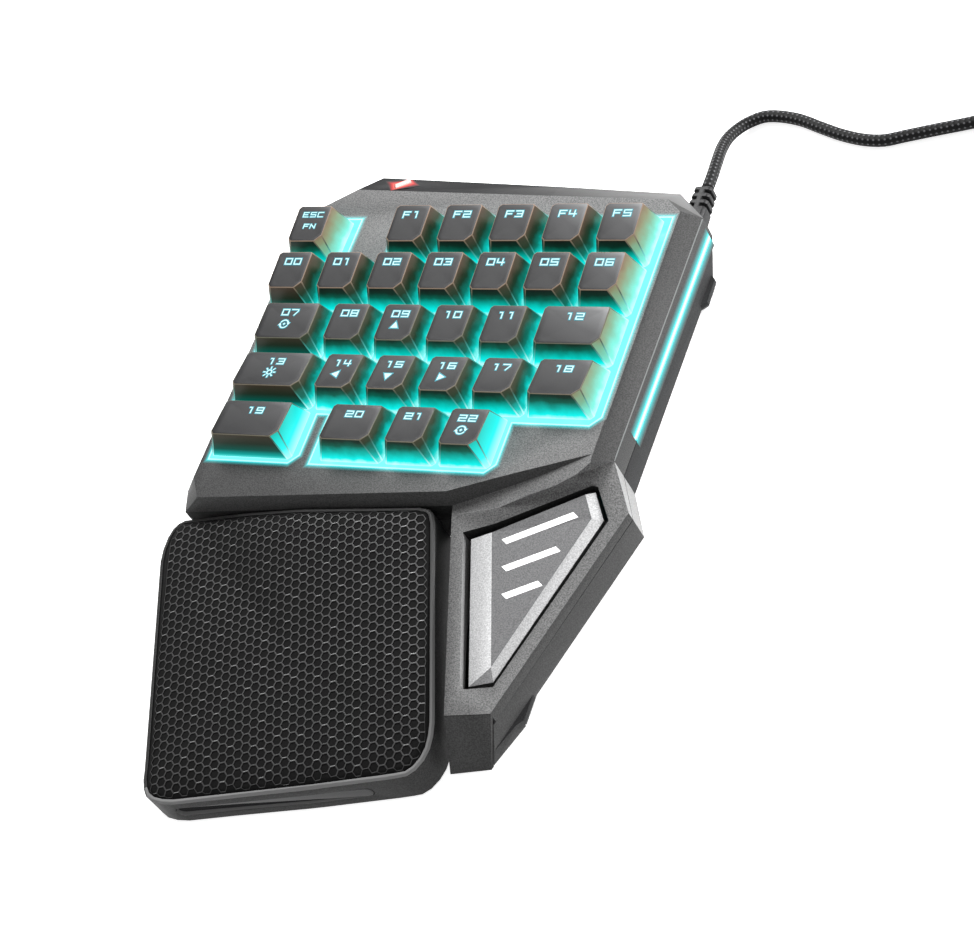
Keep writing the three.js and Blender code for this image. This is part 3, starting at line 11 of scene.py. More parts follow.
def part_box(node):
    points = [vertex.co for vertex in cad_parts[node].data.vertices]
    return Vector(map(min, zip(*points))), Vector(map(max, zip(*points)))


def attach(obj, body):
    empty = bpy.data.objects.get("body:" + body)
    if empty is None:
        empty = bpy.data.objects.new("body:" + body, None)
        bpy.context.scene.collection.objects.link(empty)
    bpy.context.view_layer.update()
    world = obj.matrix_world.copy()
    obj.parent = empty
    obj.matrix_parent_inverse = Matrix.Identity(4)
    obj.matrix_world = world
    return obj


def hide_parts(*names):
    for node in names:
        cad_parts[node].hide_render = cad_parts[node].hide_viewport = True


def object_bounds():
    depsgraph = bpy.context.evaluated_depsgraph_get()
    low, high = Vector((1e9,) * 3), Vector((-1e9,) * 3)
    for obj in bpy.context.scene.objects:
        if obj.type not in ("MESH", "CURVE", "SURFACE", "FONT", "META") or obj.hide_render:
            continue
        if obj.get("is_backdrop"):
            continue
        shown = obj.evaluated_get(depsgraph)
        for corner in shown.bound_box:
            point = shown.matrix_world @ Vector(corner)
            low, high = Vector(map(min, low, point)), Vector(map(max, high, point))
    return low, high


MM = 0.001
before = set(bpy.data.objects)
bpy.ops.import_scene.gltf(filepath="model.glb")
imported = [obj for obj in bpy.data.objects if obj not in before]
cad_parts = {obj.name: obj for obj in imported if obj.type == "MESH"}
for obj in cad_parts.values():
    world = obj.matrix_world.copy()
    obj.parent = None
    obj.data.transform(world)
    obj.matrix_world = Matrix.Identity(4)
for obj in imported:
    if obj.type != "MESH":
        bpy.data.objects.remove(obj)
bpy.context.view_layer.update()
bpy.context.scene.view_settings.view_transform = "Standard"

# The key grid: X = 0 is the left edge of the key field, Y = 0 the middle of the top row,
# Z = 0 the deck. Its lengths are in millimetres, those of the row frame in metres.
KEY_PITCH = 19.05
CAP_GAP = 0.45
DECK_HEIGHT = 24.5
first_low, first_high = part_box("key_00")
GRID_X = first_low.x - CAP_GAP * MM
GRID_Y = (first_low.y + first_high.y) / 2 + KEY_PITCH * MM
GRID_Z = DECK_HEIGHT * MM


def at(x, y, z):
    """A point of the key grid in millimetres, as a point of the row frame in metres."""
    return Vector((GRID_X + x * MM, GRID_Y + y * MM, GRID_Z + z * MM))


# Camera, solved from the key rows of the photograph: its place and its directions in the grid
CAMERA_PLACE = (483.151, -440.987, 551.923)
CAMERA_RIGHT = (0.8646064, 0.3122851, -0.3936163)
CAMERA_DOWN = (0.0419577, -0.8255322, -0.5627931)
CAMERA_FORWARD = (-0.5006948, 0.4700793, -0.7268632)
SENSOR_MM = 36.0
FOCAL_PX = 2550.764
IMAGE_WIDTH = 974
CLIP_NEAR = 0.05
CLIP_FAR = 20


def make_camera():
    data = bpy.data.cameras.new("camera")
    data.sensor_width = SENSOR_MM
    data.lens = FOCAL_PX / IMAGE_WIDTH * SENSOR_MM
    data.clip_start = CLIP_NEAR
    data.clip_end = CLIP_FAR
    camera = bpy.data.objects.new("camera", data)
    bpy.context.collection.objects.link(camera)
    right, down, forward = (Vector(v) for v in (CAMERA_RIGHT, CAMERA_DOWN, CAMERA_FORWARD))
    turn = Matrix((right, -down, -forward)).transposed().to_4x4()
    camera.matrix_world = Matrix.Translation(at(*CAMERA_PLACE)) @ turn
    bpy.context.scene.camera = camera


make_camera()


# Materials
def new_material(name):
    material = bpy.data.materials.new(name)
    material.use_nodes = True
    tree = material.node_tree
    return material, tree, tree.nodes["Principled BSDF"]


def add_node(tree, kind, **inputs):
    node = tree.nodes.new(kind)
    for key, value in inputs.items():
        node.inputs[key].default_value = value
    return node


def object_point(tree):
    return tree.nodes.new("ShaderNodeTexCoord").outputs["Object"]


def calculate(tree, operation, *values):
    """The output of a maths node; each value is a number or the output of another node."""
    node = tree.nodes.new("ShaderNodeMath")
    node.operation = operation
    for socket, value in zip(node.inputs, values):
        if isinstance(value, (int, float)):
            socket.default_value = value
        else:
            tree.links.new(value, socket)
    return node.outputs[0]


def parts_of(tree, vector):
    """The X, Y and Z of a vector, by name."""
    split = tree.nodes.new("ShaderNodeSeparateXYZ")
    tree.links.new(vector, split.inputs["Vector"])
    return split.outputs


def spread(tree, value, from_low=0.0, from_high=1.0, to_low=0.0, to_high=1.0):
    """The value, mapped from one range to another and held within it."""
    span = tree.nodes.new("ShaderNodeMapRange")
    span.inputs["From Min"].default_value = from_low
    span.inputs["From Max"].default_value = from_high
    span.inputs["To Min"].default_value = to_low
    span.inputs["To Max"].default_value = to_high
    tree.links.new(value, span.inputs["Value"])
    return span.outputs["Result"]


def ramp(tree, factor, stops):
    node = tree.nodes.new("ShaderNodeValToRGB")
    band = node.color_ramp
    while len(band.elements) < len(stops):
        band.elements.new(0.5)
    for element, (place, color) in zip(band.elements, stops):
        element.position = place
        element.color = (*color, 1)
    tree.links.new(factor, node.inputs["Fac"])
    return node.outputs["Color"]


def noise_at(tree, scale, detail):
    noise = add_node(tree, "ShaderNodeTexNoise", Scale=scale, Detail=detail)
    tree.links.new(object_point(tree), noise.inputs["Vector"])
    return noise.outputs["Fac"]


def raised(tree, shader, height, strength, depth):
    """A bump on the shader, as deep in metres as said."""
    bump = add_node(tree, "ShaderNodeBump", Strength=strength, Distance=depth)
    tree.links.new(height, bump.inputs["Height"])
    tree.links.new(bump.outputs["Normal"], shader.inputs["Normal"])


PLASTIC_SHEEN = 0.12
GRAIN_SCALE = 2400
GRAIN_DETAIL = 2.0
GRAIN_STRENGTH = 0.3
GRAIN_DEPTH = 0.0001
# The share of the grain under which a plastic is dark, and over which it is light
FLECK_DARK, FLECK_LIGHT = 0.35, 0.65


def moulded(name, roughness, scale=GRAIN_SCALE, strength=GRAIN_STRENGTH):
    """A plastic with a fine moulded texture and no colour yet; the last value is its grain."""
    material, tree, shader = new_material(name)
    fleck = noise_at(tree, scale, GRAIN_DETAIL)
    raised(tree, shader, fleck, strength, GRAIN_DEPTH)
    shader.inputs["Roughness"].default_value = roughness
    shader.inputs["Specular IOR Level"].default_value = PLASTIC_SHEEN
    return material, tree, shader, fleck


# The deck's painted shade at its front left corner: the tilt of the shading's line, its range in
# the key grid along Y at X = 0, and the share of the colour that is left at its dark end
FRONT_TILT = 0.43
FRONT_SPAN = (-85, -40)
FRONT_SHADE = 0.42


def painted_front_shade(tree, color):
    """The colour, darker towards the deck's front left corner: painted shade."""
    point = parts_of(tree, object_point(tree))
    line = calculate(tree, "MULTIPLY_ADD", point["X"], FRONT_TILT, point["Y"])
    zero = GRID_Y + FRONT_TILT * GRID_X
    low, high = (zero + y * MM for y in FRONT_SPAN)
    scale = tree.nodes.new("ShaderNodeVectorMath")
    scale.operation = "SCALE"
    tree.links.new(color, scale.inputs[0])
    tree.links.new(spread(tree, line, low, high, FRONT_SHADE), scale.inputs["Scale"])
    return scale.outputs[0]


def plastic(name, dark, light, roughness, front_shade=False):
    """A moulded plastic whose grain varies between two close greys."""
    material, tree, shader, fleck = moulded(name, roughness)
    color = ramp(tree, fleck, [(FLECK_DARK, dark), (FLECK_LIGHT, light)])
    if front_shade:
        color = painted_front_shade(tree, color)
    tree.links.new(color, shader.inputs["Base Color"])
    return material


HALO_FALL = 1.6


def halo(name, dark, light, roughness, glow, core, front_shade=False):
    """A plastic with a painted spill of light on it, as strong as the mesh's glow attribute says.
    """
    material = plastic(name, dark, light, roughness, front_shade)
    tree = material.node_tree
    shader = tree.nodes["Principled BSDF"]
    spill = tree.nodes.new("ShaderNodeAttribute")
    spill.attribute_name = "glow"
    curve = calculate(tree, "POWER", spill.outputs["Fac"], HALO_FALL)
    tree.links.new(ramp(tree, curve, [(0, (0, 0, 0)), (0.5, glow), (1, core)]),
                   shader.inputs["Emission Color"])
    shader.inputs["Emission Strength"].default_value = 1.0
    return material


# The finer texture of a cap's top, and how much its painted shading follows X beside Y
CAP_TOP_GRAIN = (2000, 0.08)
CAP_TOP_TILT = 0.6


def cap_top_material(name, stops):
    """A cap's top in painted light: dark at the front left corner, lighter towards the back right.
    """
    material, tree, shader, _ = moulded(name, 0.5, *CAP_TOP_GRAIN)
    place = parts_of(tree, tree.nodes.new("ShaderNodeTexCoord").outputs["Generated"])
    total = calculate(tree, "MULTIPLY_ADD", place["X"], CAP_TOP_TILT, place["Y"])
    share = calculate(tree, "DIVIDE", total, 1 + CAP_TOP_TILT)
    tree.links.new(ramp(tree, share, stops), shader.inputs["Base Color"])
    return material


def plain(name, color, roughness, metallic=0.0, glow=None, power=0.0):
    material, tree, shader = new_material(name)
    shader.inputs["Base Color"].default_value = (*color, 1)
    shader.inputs["Roughness"].default_value = roughness
    shader.inputs["Metallic"].default_value = metallic
    if glow:
        shader.inputs["Emission Color"].default_value = (*glow, 1)
        shader.inputs["Emission Strength"].default_value = power
    return material


BLOTCH_SCALE = 260
BLOTCH_DETAIL = 4.0


def by_height(name, low, high, base_stops, glow_stops, roughness, blotch=0.0):
    """Colours that change with the height over the deck: the backlight's painted glow on what it
    lights from below.
    """
    material, tree, shader = new_material(name)
    height = parts_of(tree, object_point(tree))["Z"]
    place = spread(tree, height, GRID_Z + low * MM, GRID_Z + high * MM)
    if blotch:
        noise = noise_at(tree, BLOTCH_SCALE, BLOTCH_DETAIL)
        shift = spread(tree, noise, to_low=-blotch, to_high=blotch)
        place = calculate(tree, "ADD", place, shift)
    tree.links.new(ramp(tree, place, base_stops), shader.inputs["Base Color"])
    tree.links.new(ramp(tree, place, glow_stops), shader.inputs["Emission Color"])
    shader.inputs["Emission Strength"].default_value = 1.0
    shader.inputs["Roughness"].default_value = roughness
    shader.inputs["Specular IOR Level"].default_value = PLASTIC_SHEEN
    return material


def greys_along(name, axis, low, high, stops, roughness):
    """Plastic whose grey changes from low to high along one axis, both in metres."""
    material, tree, shader, _ = moulded(name, roughness)
    place = spread(tree, parts_of(tree, object_point(tree))[axis], low, high)
    tree.links.new(ramp(tree, place, stops), shader.inputs["Base Color"])
    return material


DECK_GREYS = ((0.085, 0.085, 0.085), (0.19, 0.19, 0.19))
# Darker greys for walls and slopes that face away from the light: painted shade
WALL_SHADE_GREYS = ((0.04, 0.04, 0.04), (0.075, 0.075, 0.075))
CYAN = (0.0, 0.80, 0.82)
CYAN_CORE = (0.75, 1.0, 1.0)
DECK = plastic("deck", *DECK_GREYS, 0.45, front_shade=True)
DECK_HALO = halo("deck_halo", *DECK_GREYS, 0.45, CYAN, CYAN_CORE, front_shade=True)
BLOCK = plastic("block", *DECK_GREYS, 0.45)
# Painted shade for the front walls, which face away from the light
SHADE = plastic("shade", (0.010, 0.010, 0.010), (0.025, 0.025, 0.025), 0.5)
# Painted highlight on the thumb block's corner facet that faces back right
FACET_HIGHLIGHT = plastic("facet", (0.24, 0.24, 0.24), (0.38, 0.38, 0.38), 0.45)
BAND_GREYS = ((0.010, 0.010, 0.011), (0.012, 0.012, 0.013))
# The back band's dark plastic, lighter towards the right as painted light
BAND_STOPS = [(0, BAND_GREYS[0]), (0.35, BAND_GREYS[1]), (0.7, (0.05, 0.05, 0.05)),
              (1, (0.12, 0.12, 0.12))]
BAND_LEFT, BAND_RIGHT = GRID_X + 20 * MM, GRID_X + 130 * MM
BAND = greys_along("band", "X", BAND_LEFT, BAND_RIGHT, BAND_STOPS, 0.4)
# Painted shade on the housing's walls and slopes and on the thumb key's walls
BEVEL = plastic("bevel", *WALL_SHADE_GREYS, 0.5)
WALL_HALO = halo("wall_halo", *WALL_SHADE_GREYS, 0.5, CYAN, CYAN_CORE)
BASE = plastic("base", (0.025, 0.025, 0.026), (0.042, 0.042, 0.043), 0.55)
# The base's grey lifted as painted light for the thumb block's right wall
BASE_LIT = plastic("base_lit", (0.06, 0.06, 0.06), (0.09, 0.09, 0.09), 0.5)
# The palm rest's rim: painted highlight at the front, fading to painted shade at the back and left
FRAME_STOPS = [(0, (0.22, 0.22, 0.22)), (0.3, (0.15, 0.15, 0.15)), (1, (0.05, 0.05, 0.05))]
FRAME_FRONT, FRAME_BACK = GRID_Y - 183 * MM, GRID_Y - 115 * MM
FRAME = greys_along("frame", "Y", FRAME_FRONT, FRAME_BACK, FRAME_STOPS, 0.45)
FRAME_SHADE = plastic("frame_shade", (0.02, 0.02, 0.02), (0.045, 0.045, 0.045), 0.5)
# Painted shade and highlight across each cap's top; the lit copy paints more light on LIT_KEYS
CAP_TOP_STOPS = [(0.3, (0.014, 0.014, 0.015)), (0.55, (0.034, 0.034, 0.035)),
                 (0.8, (0.07, 0.07, 0.072)), (1, (0.19, 0.19, 0.195))]
CAP_TOP = cap_top_material("cap_top", CAP_TOP_STOPS)
CAP_TOP_LIT_STOPS = [(0.3, (0.02, 0.02, 0.021)), (0.55, (0.06, 0.06, 0.062)),
                     (0.8, (0.17, 0.172, 0.175)), (1, (0.38, 0.385, 0.39))]
CAP_TOP_LIT = cap_top_material("cap_top_lit", CAP_TOP_LIT_STOPS)
# How high over the deck the caps' colours run: FRONT_TOP for front, left and back,
# SIDE_TOP for the right sides and the edges
FRONT_TOP = 9.5
SIDE_TOP = 10.5
# The caps' sides: the backlight's painted glow, cyan at the deck and dark at the top
CAP_RIGHT = by_height(
    "cap_right", 0, SIDE_TOP,
    [(0, (0.01, 0.05, 0.05)), (0.6, (0.03, 0.03, 0.02)), (1, (0.06, 0.04, 0.03))],
    [(0, (0.30, 1.0, 0.97)), (0.18, (0.0, 0.62, 0.56)), (0.38, (0.0, 0.16, 0.12)),
     (0.62, (0.004, 0.03, 0.014)), (1, (0.03, 0.02, 0.01))],
    0.4, 0.2,
)
CAP_OUTER = by_height(
    "cap_outer", 0, SIDE_TOP,
    [(0, (0.05, 0.1, 0.1)), (0.6, (0.06, 0.06, 0.045)), (1, (0.06, 0.045, 0.03))],
    [(0, (0.60, 1.0, 0.97)), (0.2, (0.16, 0.82, 0.68)), (0.5, (0.16, 0.45, 0.29)),
     (0.8, (0.22, 0.24, 0.13)), (1, (0.20, 0.13, 0.08))],
    0.4, 0.15,
)
CAP_FRONT = by_height(
    "cap_front", 0, FRONT_TOP,
    [(0, (0.01, 0.05, 0.05)), (0.5, (0.008, 0.014, 0.012)), (1, (0.012, 0.012, 0.011))],
    [(0, (0.60, 1.0, 1.0)), (0.14, (0.0, 0.92, 0.87)), (0.38, (0.0, 0.48, 0.41)),
     (0.62, (0.0, 0.10, 0.065)), (0.8, (0.0, 0.02, 0.011)), (1, (0.0, 0.004, 0.002))],
    0.4, 0.12,
)
CAP_CYAN = by_height(
    "cap_cyan", 0, SIDE_TOP,
    [(0, (0.02, 0.1, 0.1)), (1, (0.02, 0.08, 0.08))],
    [(0, (0.50, 1.0, 1.0)), (0.3, (0.02, 0.95, 0.92)), (0.7, (0.0, 0.60, 0.52)),
     (0.85, (0.02, 0.30, 0.24)), (1, (0.06, 0.05, 0.03))],
    0.4,
)
CAP_LEFT_FRONT = by_height(
    "cap_left_front", 0, FRONT_TOP,
    [(0, (0.01, 0.05, 0.05)), (0.5, (0.01, 0.014, 0.012)), (1, (0.024, 0.018, 0.014))],
    [(0, (0.10, 0.90, 0.86)), (0.12, (0.0, 0.36, 0.32)), (0.3, (0.0, 0.07, 0.05)),
     (0.55, (0.008, 0.018, 0.009)), (1, (0.03, 0.018, 0.01))],
    0.4,
)
# Painted highlight along the caps' rounded edges, warm at the top, with the backlight's painted
# glow low down
CAP_EDGE_HIGHLIGHT = by_height(
    "cap_edge_highlight", 0, SIDE_TOP,
    [(0, (0.2, 0.4, 0.4)), (0.6, (0.05, 0.05, 0.04)), (1, (0.11, 0.09, 0.075))],
    [(0, (0.60, 1.0, 1.0)), (0.3, (0.03, 0.42, 0.38)), (0.65, (0.015, 0.06, 0.04)),
     (1, (0.21, 0.125, 0.08))],
    0.35,
)
# Painted glow of the backlight on the key plate and the well's walls
WELL = plain("well_glow", (0.05, 0.2, 0.2), 0.6, glow=(0.22, 1.0, 0.97), power=1.0)
STRIP_LOW, STRIP_HIGH = -12.5, -10
STRIP = by_height(
    "strip_glow", STRIP_LOW, STRIP_HIGH,
    [(0, (0.1, 0.3, 0.3)), (1, (0.1, 0.3, 0.3))],
    [(0, (0.0, 0.75, 0.80)), (0.28, (0.35, 1.0, 1.0)), (0.4, (0.95, 1.0, 1.0)),
     (0.65, (0.95, 1.0, 1.0)), (0.8, (0.35, 1.0, 1.0)), (1, (0.0, 0.75, 0.80))],
    0.3,
)
LEGEND_EDGE = plain("legend_edge", (0.0, 0.02, 0.03), 0.6, glow=(0.0, 0.36, 0.46), power=1.0)
LEGEND = plain("legend", (0.03, 0.06, 0.06), 0.6, glow=(0.66, 1.0, 1.0), power=1.0)
RED_LENS = plain("red_lens", (0.6, 0.1, 0.08), 0.2, glow=(1.0, 0.75, 0.70), power=1.0)
RED_HALO = halo("red_halo", *BAND_GREYS, 0.4, (0.8, 0.01, 0.01), (1.0, 0.2, 0.15))
STEEL = plain("steel", (0.34, 0.345, 0.35), 0.4, metallic=1.0)
RIDGE_HIGHLIGHT = plain("ridge_highlight", (0.17, 0.18, 0.18), 0.4)
RUBBER = plastic("rubber", (0.014, 0.014, 0.015), (0.03, 0.03, 0.031), 0.4)
SILICONE = plain("silicone", (0.6, 0.62, 0.62), 0.6)
BOARD = plain("board", (0.02, 0.12, 0.06), 0.45)
GLOSS = plain("gloss", (0.008, 0.008, 0.009), 0.08)
PAD_CELL = plastic("pad_cell", (0.002, 0.002, 0.002), (0.005, 0.005, 0.005), 0.8)
PAD_RIDGE = plain("pad_ridge", (0.006, 0.006, 0.006), 0.55)
# Painted highlight on one side of each ridge, and brighter painted glints on some
PAD_RIDGE_LIT = plain("pad_ridge_lit", (0.03, 0.03, 0.03), 0.5)
PAD_GLINT = plain("pad_glint", (0.22, 0.22, 0.22), 0.35)
# The thumb key's silver in tones for how light falls on its faces: painted light and shade
THUMB_PANEL = plastic("thumb_panel", (0.10, 0.10, 0.102), (0.17, 0.17, 0.174), 0.42)
THUMB_HIGHLIGHT = plastic("thumb_highlight", (0.42, 0.42, 0.425), (0.66, 0.66, 0.665), 0.36)
THUMB_SIDE = plastic("thumb_side", (0.22, 0.22, 0.224), (0.36, 0.36, 0.365), 0.4)
STROKE = plain("thumb_stroke", (0.95, 0.95, 0.95), 0.3, glow=(1.0, 1.0, 1.0), power=0.35)


BRAID_STOPS = [(0.4, (0.003, 0.003, 0.003)), (0.75, (0.008, 0.008, 0.009)),
               (0.98, (0.14, 0.14, 0.145))]
BRAID_STRENGTH = 0.6
BRAID_DEPTH = 0.0003


def braid_material():
    """Two crossing sets of strands over the cable's length and girth."""
    material, tree, shader = new_material("braid")
    place = parts_of(tree, tree.nodes.new("ShaderNodeTexCoord").outputs["UV"])
    waves = [
        calculate(tree, "SINE", calculate(tree, "MULTIPLY_ADD", place["X"], way, place["Y"]))
        for way in (1, -1)
    ]
    height = spread(tree, calculate(tree, "MULTIPLY", *waves), from_low=-1)
    tree.links.new(ramp(tree, height, BRAID_STOPS), shader.inputs["Base Color"])
    raised(tree, shader, height, BRAID_STRENGTH, BRAID_DEPTH)
    shader.inputs["Roughness"].default_value = 0.5
    shader.inputs["Specular IOR Level"].default_value = PLASTIC_SHEEN
    return material


BRAID = braid_material()


# Mesh helpers. Angles are in degrees, widths in millimetres.
WELD = 1e-6
FLAT_ANGLE = 1
TOP_NORMAL = 0.8
PAIR_ANGLE = 40
PAIR_SHAPE_ANGLE = 90


def add_object(name, mesh, body, materials, smooth=False):
    piece = bpy.data.objects.new(name, mesh)
    bpy.context.collection.objects.link(piece)
    for material in materials:
        mesh.materials.append(material)
    for polygon in mesh.polygons:
        polygon.use_smooth = smooth
    if body:
        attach(piece, body)
    return piece


def from_lists(name, points, faces, body, materials, slots=None, smooth=False):
    mesh = bpy.data.meshes.new(name)
    mesh.from_pydata([tuple(p) for p in points], [], faces)
    if slots:
        for polygon, slot in zip(mesh.polygons, slots):
            polygon.material_index = slot
    mesh.validate()
    return add_object(name, mesh, body, materials, smooth)


def dressed(
    node, body, materials, choose=None, width=0.4, segments=3, angle=25, merge=True, pair=False
):
    """A copy of a CAD node with its edges rounded and its faces sorted into materials.

    With merge, triangles in one plane become one face. With pair, the triangles of the sides
    are joined two by two, so that a slightly twisted side has no crease.
    """
    mesh = bpy.data.meshes.new(node + "_dress")
    form = bmesh.new()
    form.from_mesh(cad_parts[node].data)
    bmesh.ops.remove_doubles(form, verts=form.verts, dist=WELD)
    if merge:
        bmesh.ops.dissolve_limit(
            form, angle_limit=math.radians(FLAT_ANGLE), verts=form.verts, edges=form.edges
        )
    if pair:
        sides = [face for face in form.faces if face.normal.z < TOP_NORMAL]
        bmesh.ops.join_triangles(
            form, faces=sides, angle_face_threshold=math.radians(PAIR_ANGLE),
            angle_shape_threshold=math.radians(PAIR_SHAPE_ANGLE),
        )
    bmesh.ops.recalc_face_normals(form, faces=form.faces)
    form.to_mesh(mesh)
    form.free()
    mesh.materials.clear()
    piece = add_object(node + "_dress", mesh, body, materials, smooth=True)
    for polygon in mesh.polygons:
        polygon.material_index = choose(polygon.normal, polygon.center) if choose else 0
    if width:
        bevel = piece.modifiers.new("edges", "BEVEL")
        bevel.width = width * MM
        bevel.segments = segments
        bevel.limit_method = "ANGLE"
        bevel.angle_limit = math.radians(angle)
        bevel.harden_normals = True
        bevel.use_clamp_overlap = True
    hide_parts(node)
    return piece


def to_grid(point):
    """A point of the row frame as millimetres of the key grid."""
    return Vector(((point.x - GRID_X) / MM, (point.y - GRID_Y) / MM, (point.z - GRID_Z) / MM))


def turn_outwards(mesh, upwards=False):
    """Point all faces one way: out of a closed mesh, or up for an open sheet."""
    form = bmesh.new()
    form.from_mesh(mesh)
    bmesh.ops.recalc_face_normals(form, faces=form.faces)
    if upwards and sum(face.normal.z for face in form.faces) < 0:
        bmesh.ops.reverse_faces(form, faces=form.faces)
    form.to_mesh(mesh)
    form.free()


def surface_of(node):
    """A CAD node's surface, for rays."""
    form = bmesh.new()
    form.from_mesh(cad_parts[node].data)
    tree = BVHTree.FromBMesh(form)
    form.free()
    return tree


OVER_ALL = 60


def height_on(tree, x, y, fallback=0.0):
    """The grid height of the first surface met from above."""
    hit = tree.ray_cast(at(x, y, OVER_ALL), Vector((0, 0, -1)))[0]
    return to_grid(hit).z if hit else fallback


# Cable: the free stretch as listed points, the coil by formula, as the CAD solids lie
CABLE_RADIUS = 2
CABLE_ROUTE = [
    (138, 28.4, -9), (137.9, 33.5, -9.4), (136.2, 43.6, -12), (134.4, 51, -15),
    (133.6, 57.5, -17.7), (134, 63, -20.2), (136.2, 67.8, -22), (140.8, 70.7, -22.5),
    (146, 70.8, -22.5), (154.1, 69, -22.5), (162.7, 65.3, -22.5), (171.1, 61.9, -22.5),
    (179.2, 59.8, -22.5), (185.5, 59.5, -22.5), (191.6, 61, -22.5), (202, 63.5, -22.5),
    (213.2, 66.1, -22.5),
]
COIL_CENTRE = (262, 48.9)
COIL_RADIUS = 28
COIL_TURN_PITCH = 4.8
COIL_LAYER_PITCH = 4.6
COIL_LAYERS = 4
COIL_LAYER_TURNS = 2.33
COIL_LIFT = 1.2
COIL_CLIMB_TURNS = 0.5
COIL_STEPS_PER_TURN = 32
COIL_LEAD = 4
TAIL_LENGTH = 46
TAIL_STEPS = 24
PLUG_HALF_HEIGHT = 4.1
CABLE_STEP = 1.6
CABLE_SIDES = 14
# Distance of two strands of one direction along the cable, and strands of both directions
BRAID_LENGTH = 3.6
BRAID_STRANDS = 8


def catmull(points, step):
    """A centripetal Catmull-Rom curve through the points, in even steps."""
    padded = [2 * points[0] - points[1], *points, 2 * points[-1] - points[-2]]
    fine = []
    for i in range(1, len(padded) - 2):
        p0, p1, p2, p3 = padded[i - 1 : i + 3]
        t1 = (p1 - p0).length ** 0.5
        t2 = t1 + (p2 - p1).length ** 0.5
        t3 = t2 + (p3 - p2).length ** 0.5
        count = max(int((p2 - p1).length / step), 1)
        for k in range(count):
            t = t1 + (t2 - t1) * k / count
            a1 = p0 * ((t1 - t) / t1) + p1 * (t / t1)
            a2 = p1 * ((t2 - t) / (t2 - t1)) + p2 * ((t - t1) / (t2 - t1))
            a3 = p2 * ((t3 - t) / (t3 - t2)) + p3 * ((t - t2) / (t3 - t2))
            b1 = a1 * ((t2 - t) / t2) + a2 * (t / t2)
            b2 = a2 * ((t3 - t) / (t3 - t1)) + a3 * ((t - t1) / (t3 - t1))
            fine.append(b1 * ((t2 - t) / (t2 - t1)) + b2 * ((t - t1) / (t2 - t1)))
    fine.append(points[-1])
    return fine


def smooth_step(t):
    return t * t * (3 - 2 * t)


def coil_points(entry_angle, low_z):
    """Flat layers, wound inwards and outwards by turns, with a short climb between them."""
    turns_in_all = COIL_LAYERS * COIL_LAYER_TURNS
    steps = round(turns_in_all * COIL_STEPS_PER_TURN)
    half = COIL_CLIMB_TURNS / 2
    points = []
    for i in range(steps + 1):
        turns = i / steps * turns_in_all
        layer = min(int(turns / COIL_LAYER_TURNS), COIL_LAYERS - 1)
        in_layer = turns - layer * COIL_LAYER_TURNS
        left = COIL_LAYER_TURNS - in_layer
        inward = left if layer % 2 else in_layer
        climbed = layer
        if in_layer < half and layer > 0:
            climbed += smooth_step(0.5 + in_layer / COIL_CLIMB_TURNS) - 1
        if left < half and layer < COIL_LAYERS - 1:
            climbed += smooth_step(0.5 - left / COIL_CLIMB_TURNS)
        radius = COIL_RADIUS - COIL_TURN_PITCH * inward
        angle = entry_angle - turns * 2 * math.pi
        points.append(
            Vector((
                COIL_CENTRE[0] + radius * math.cos(angle),
                COIL_CENTRE[1] + radius * math.sin(angle),
                low_z + COIL_LAYER_PITCH * climbed,
            ))
        )
    return points


def cable_path():
    """The middle line of the whole cable in the key grid."""
    near, last = Vector(CABLE_ROUTE[-2]), Vector(CABLE_ROUTE[-1])
    heading = Vector((last.x - near.x, last.y - near.y, 0)).normalized()
    entry_angle = math.atan2(heading.x, -heading.y)
    low_z = -DECK_HEIGHT + CABLE_RADIUS + COIL_LIFT
    entry = Vector((
        COIL_CENTRE[0] + COIL_RADIUS * math.cos(entry_angle),
        COIL_CENTRE[1] + COIL_RADIUS * math.sin(entry_angle),
        low_z,
    ))
    route = [Vector(p) for p in CABLE_ROUTE]
    route += [entry - heading * COIL_LEAD * 3, entry - heading * COIL_LEAD]
    coil = coil_points(entry_angle, low_z)
    exit_angle = entry_angle - COIL_LAYERS * COIL_LAYER_TURNS * 2 * math.pi
    away = Vector((math.sin(exit_angle), -math.cos(exit_angle), 0))
    plug_z = -DECK_HEIGHT + PLUG_HALF_HEIGHT
    tail = []
    for i in range(1, TAIL_STEPS + 1):
        distance = i / TAIL_STEPS * TAIL_LENGTH
        point = coil[-1] + away * distance
        share = smooth_step(min(distance / (TAIL_LENGTH - COIL_LEAD), 1))
        point.z = coil[-1].z + (plug_z - coil[-1].z) * share
        tail.append(point)
    return catmull(route, CABLE_STEP) + coil + tail


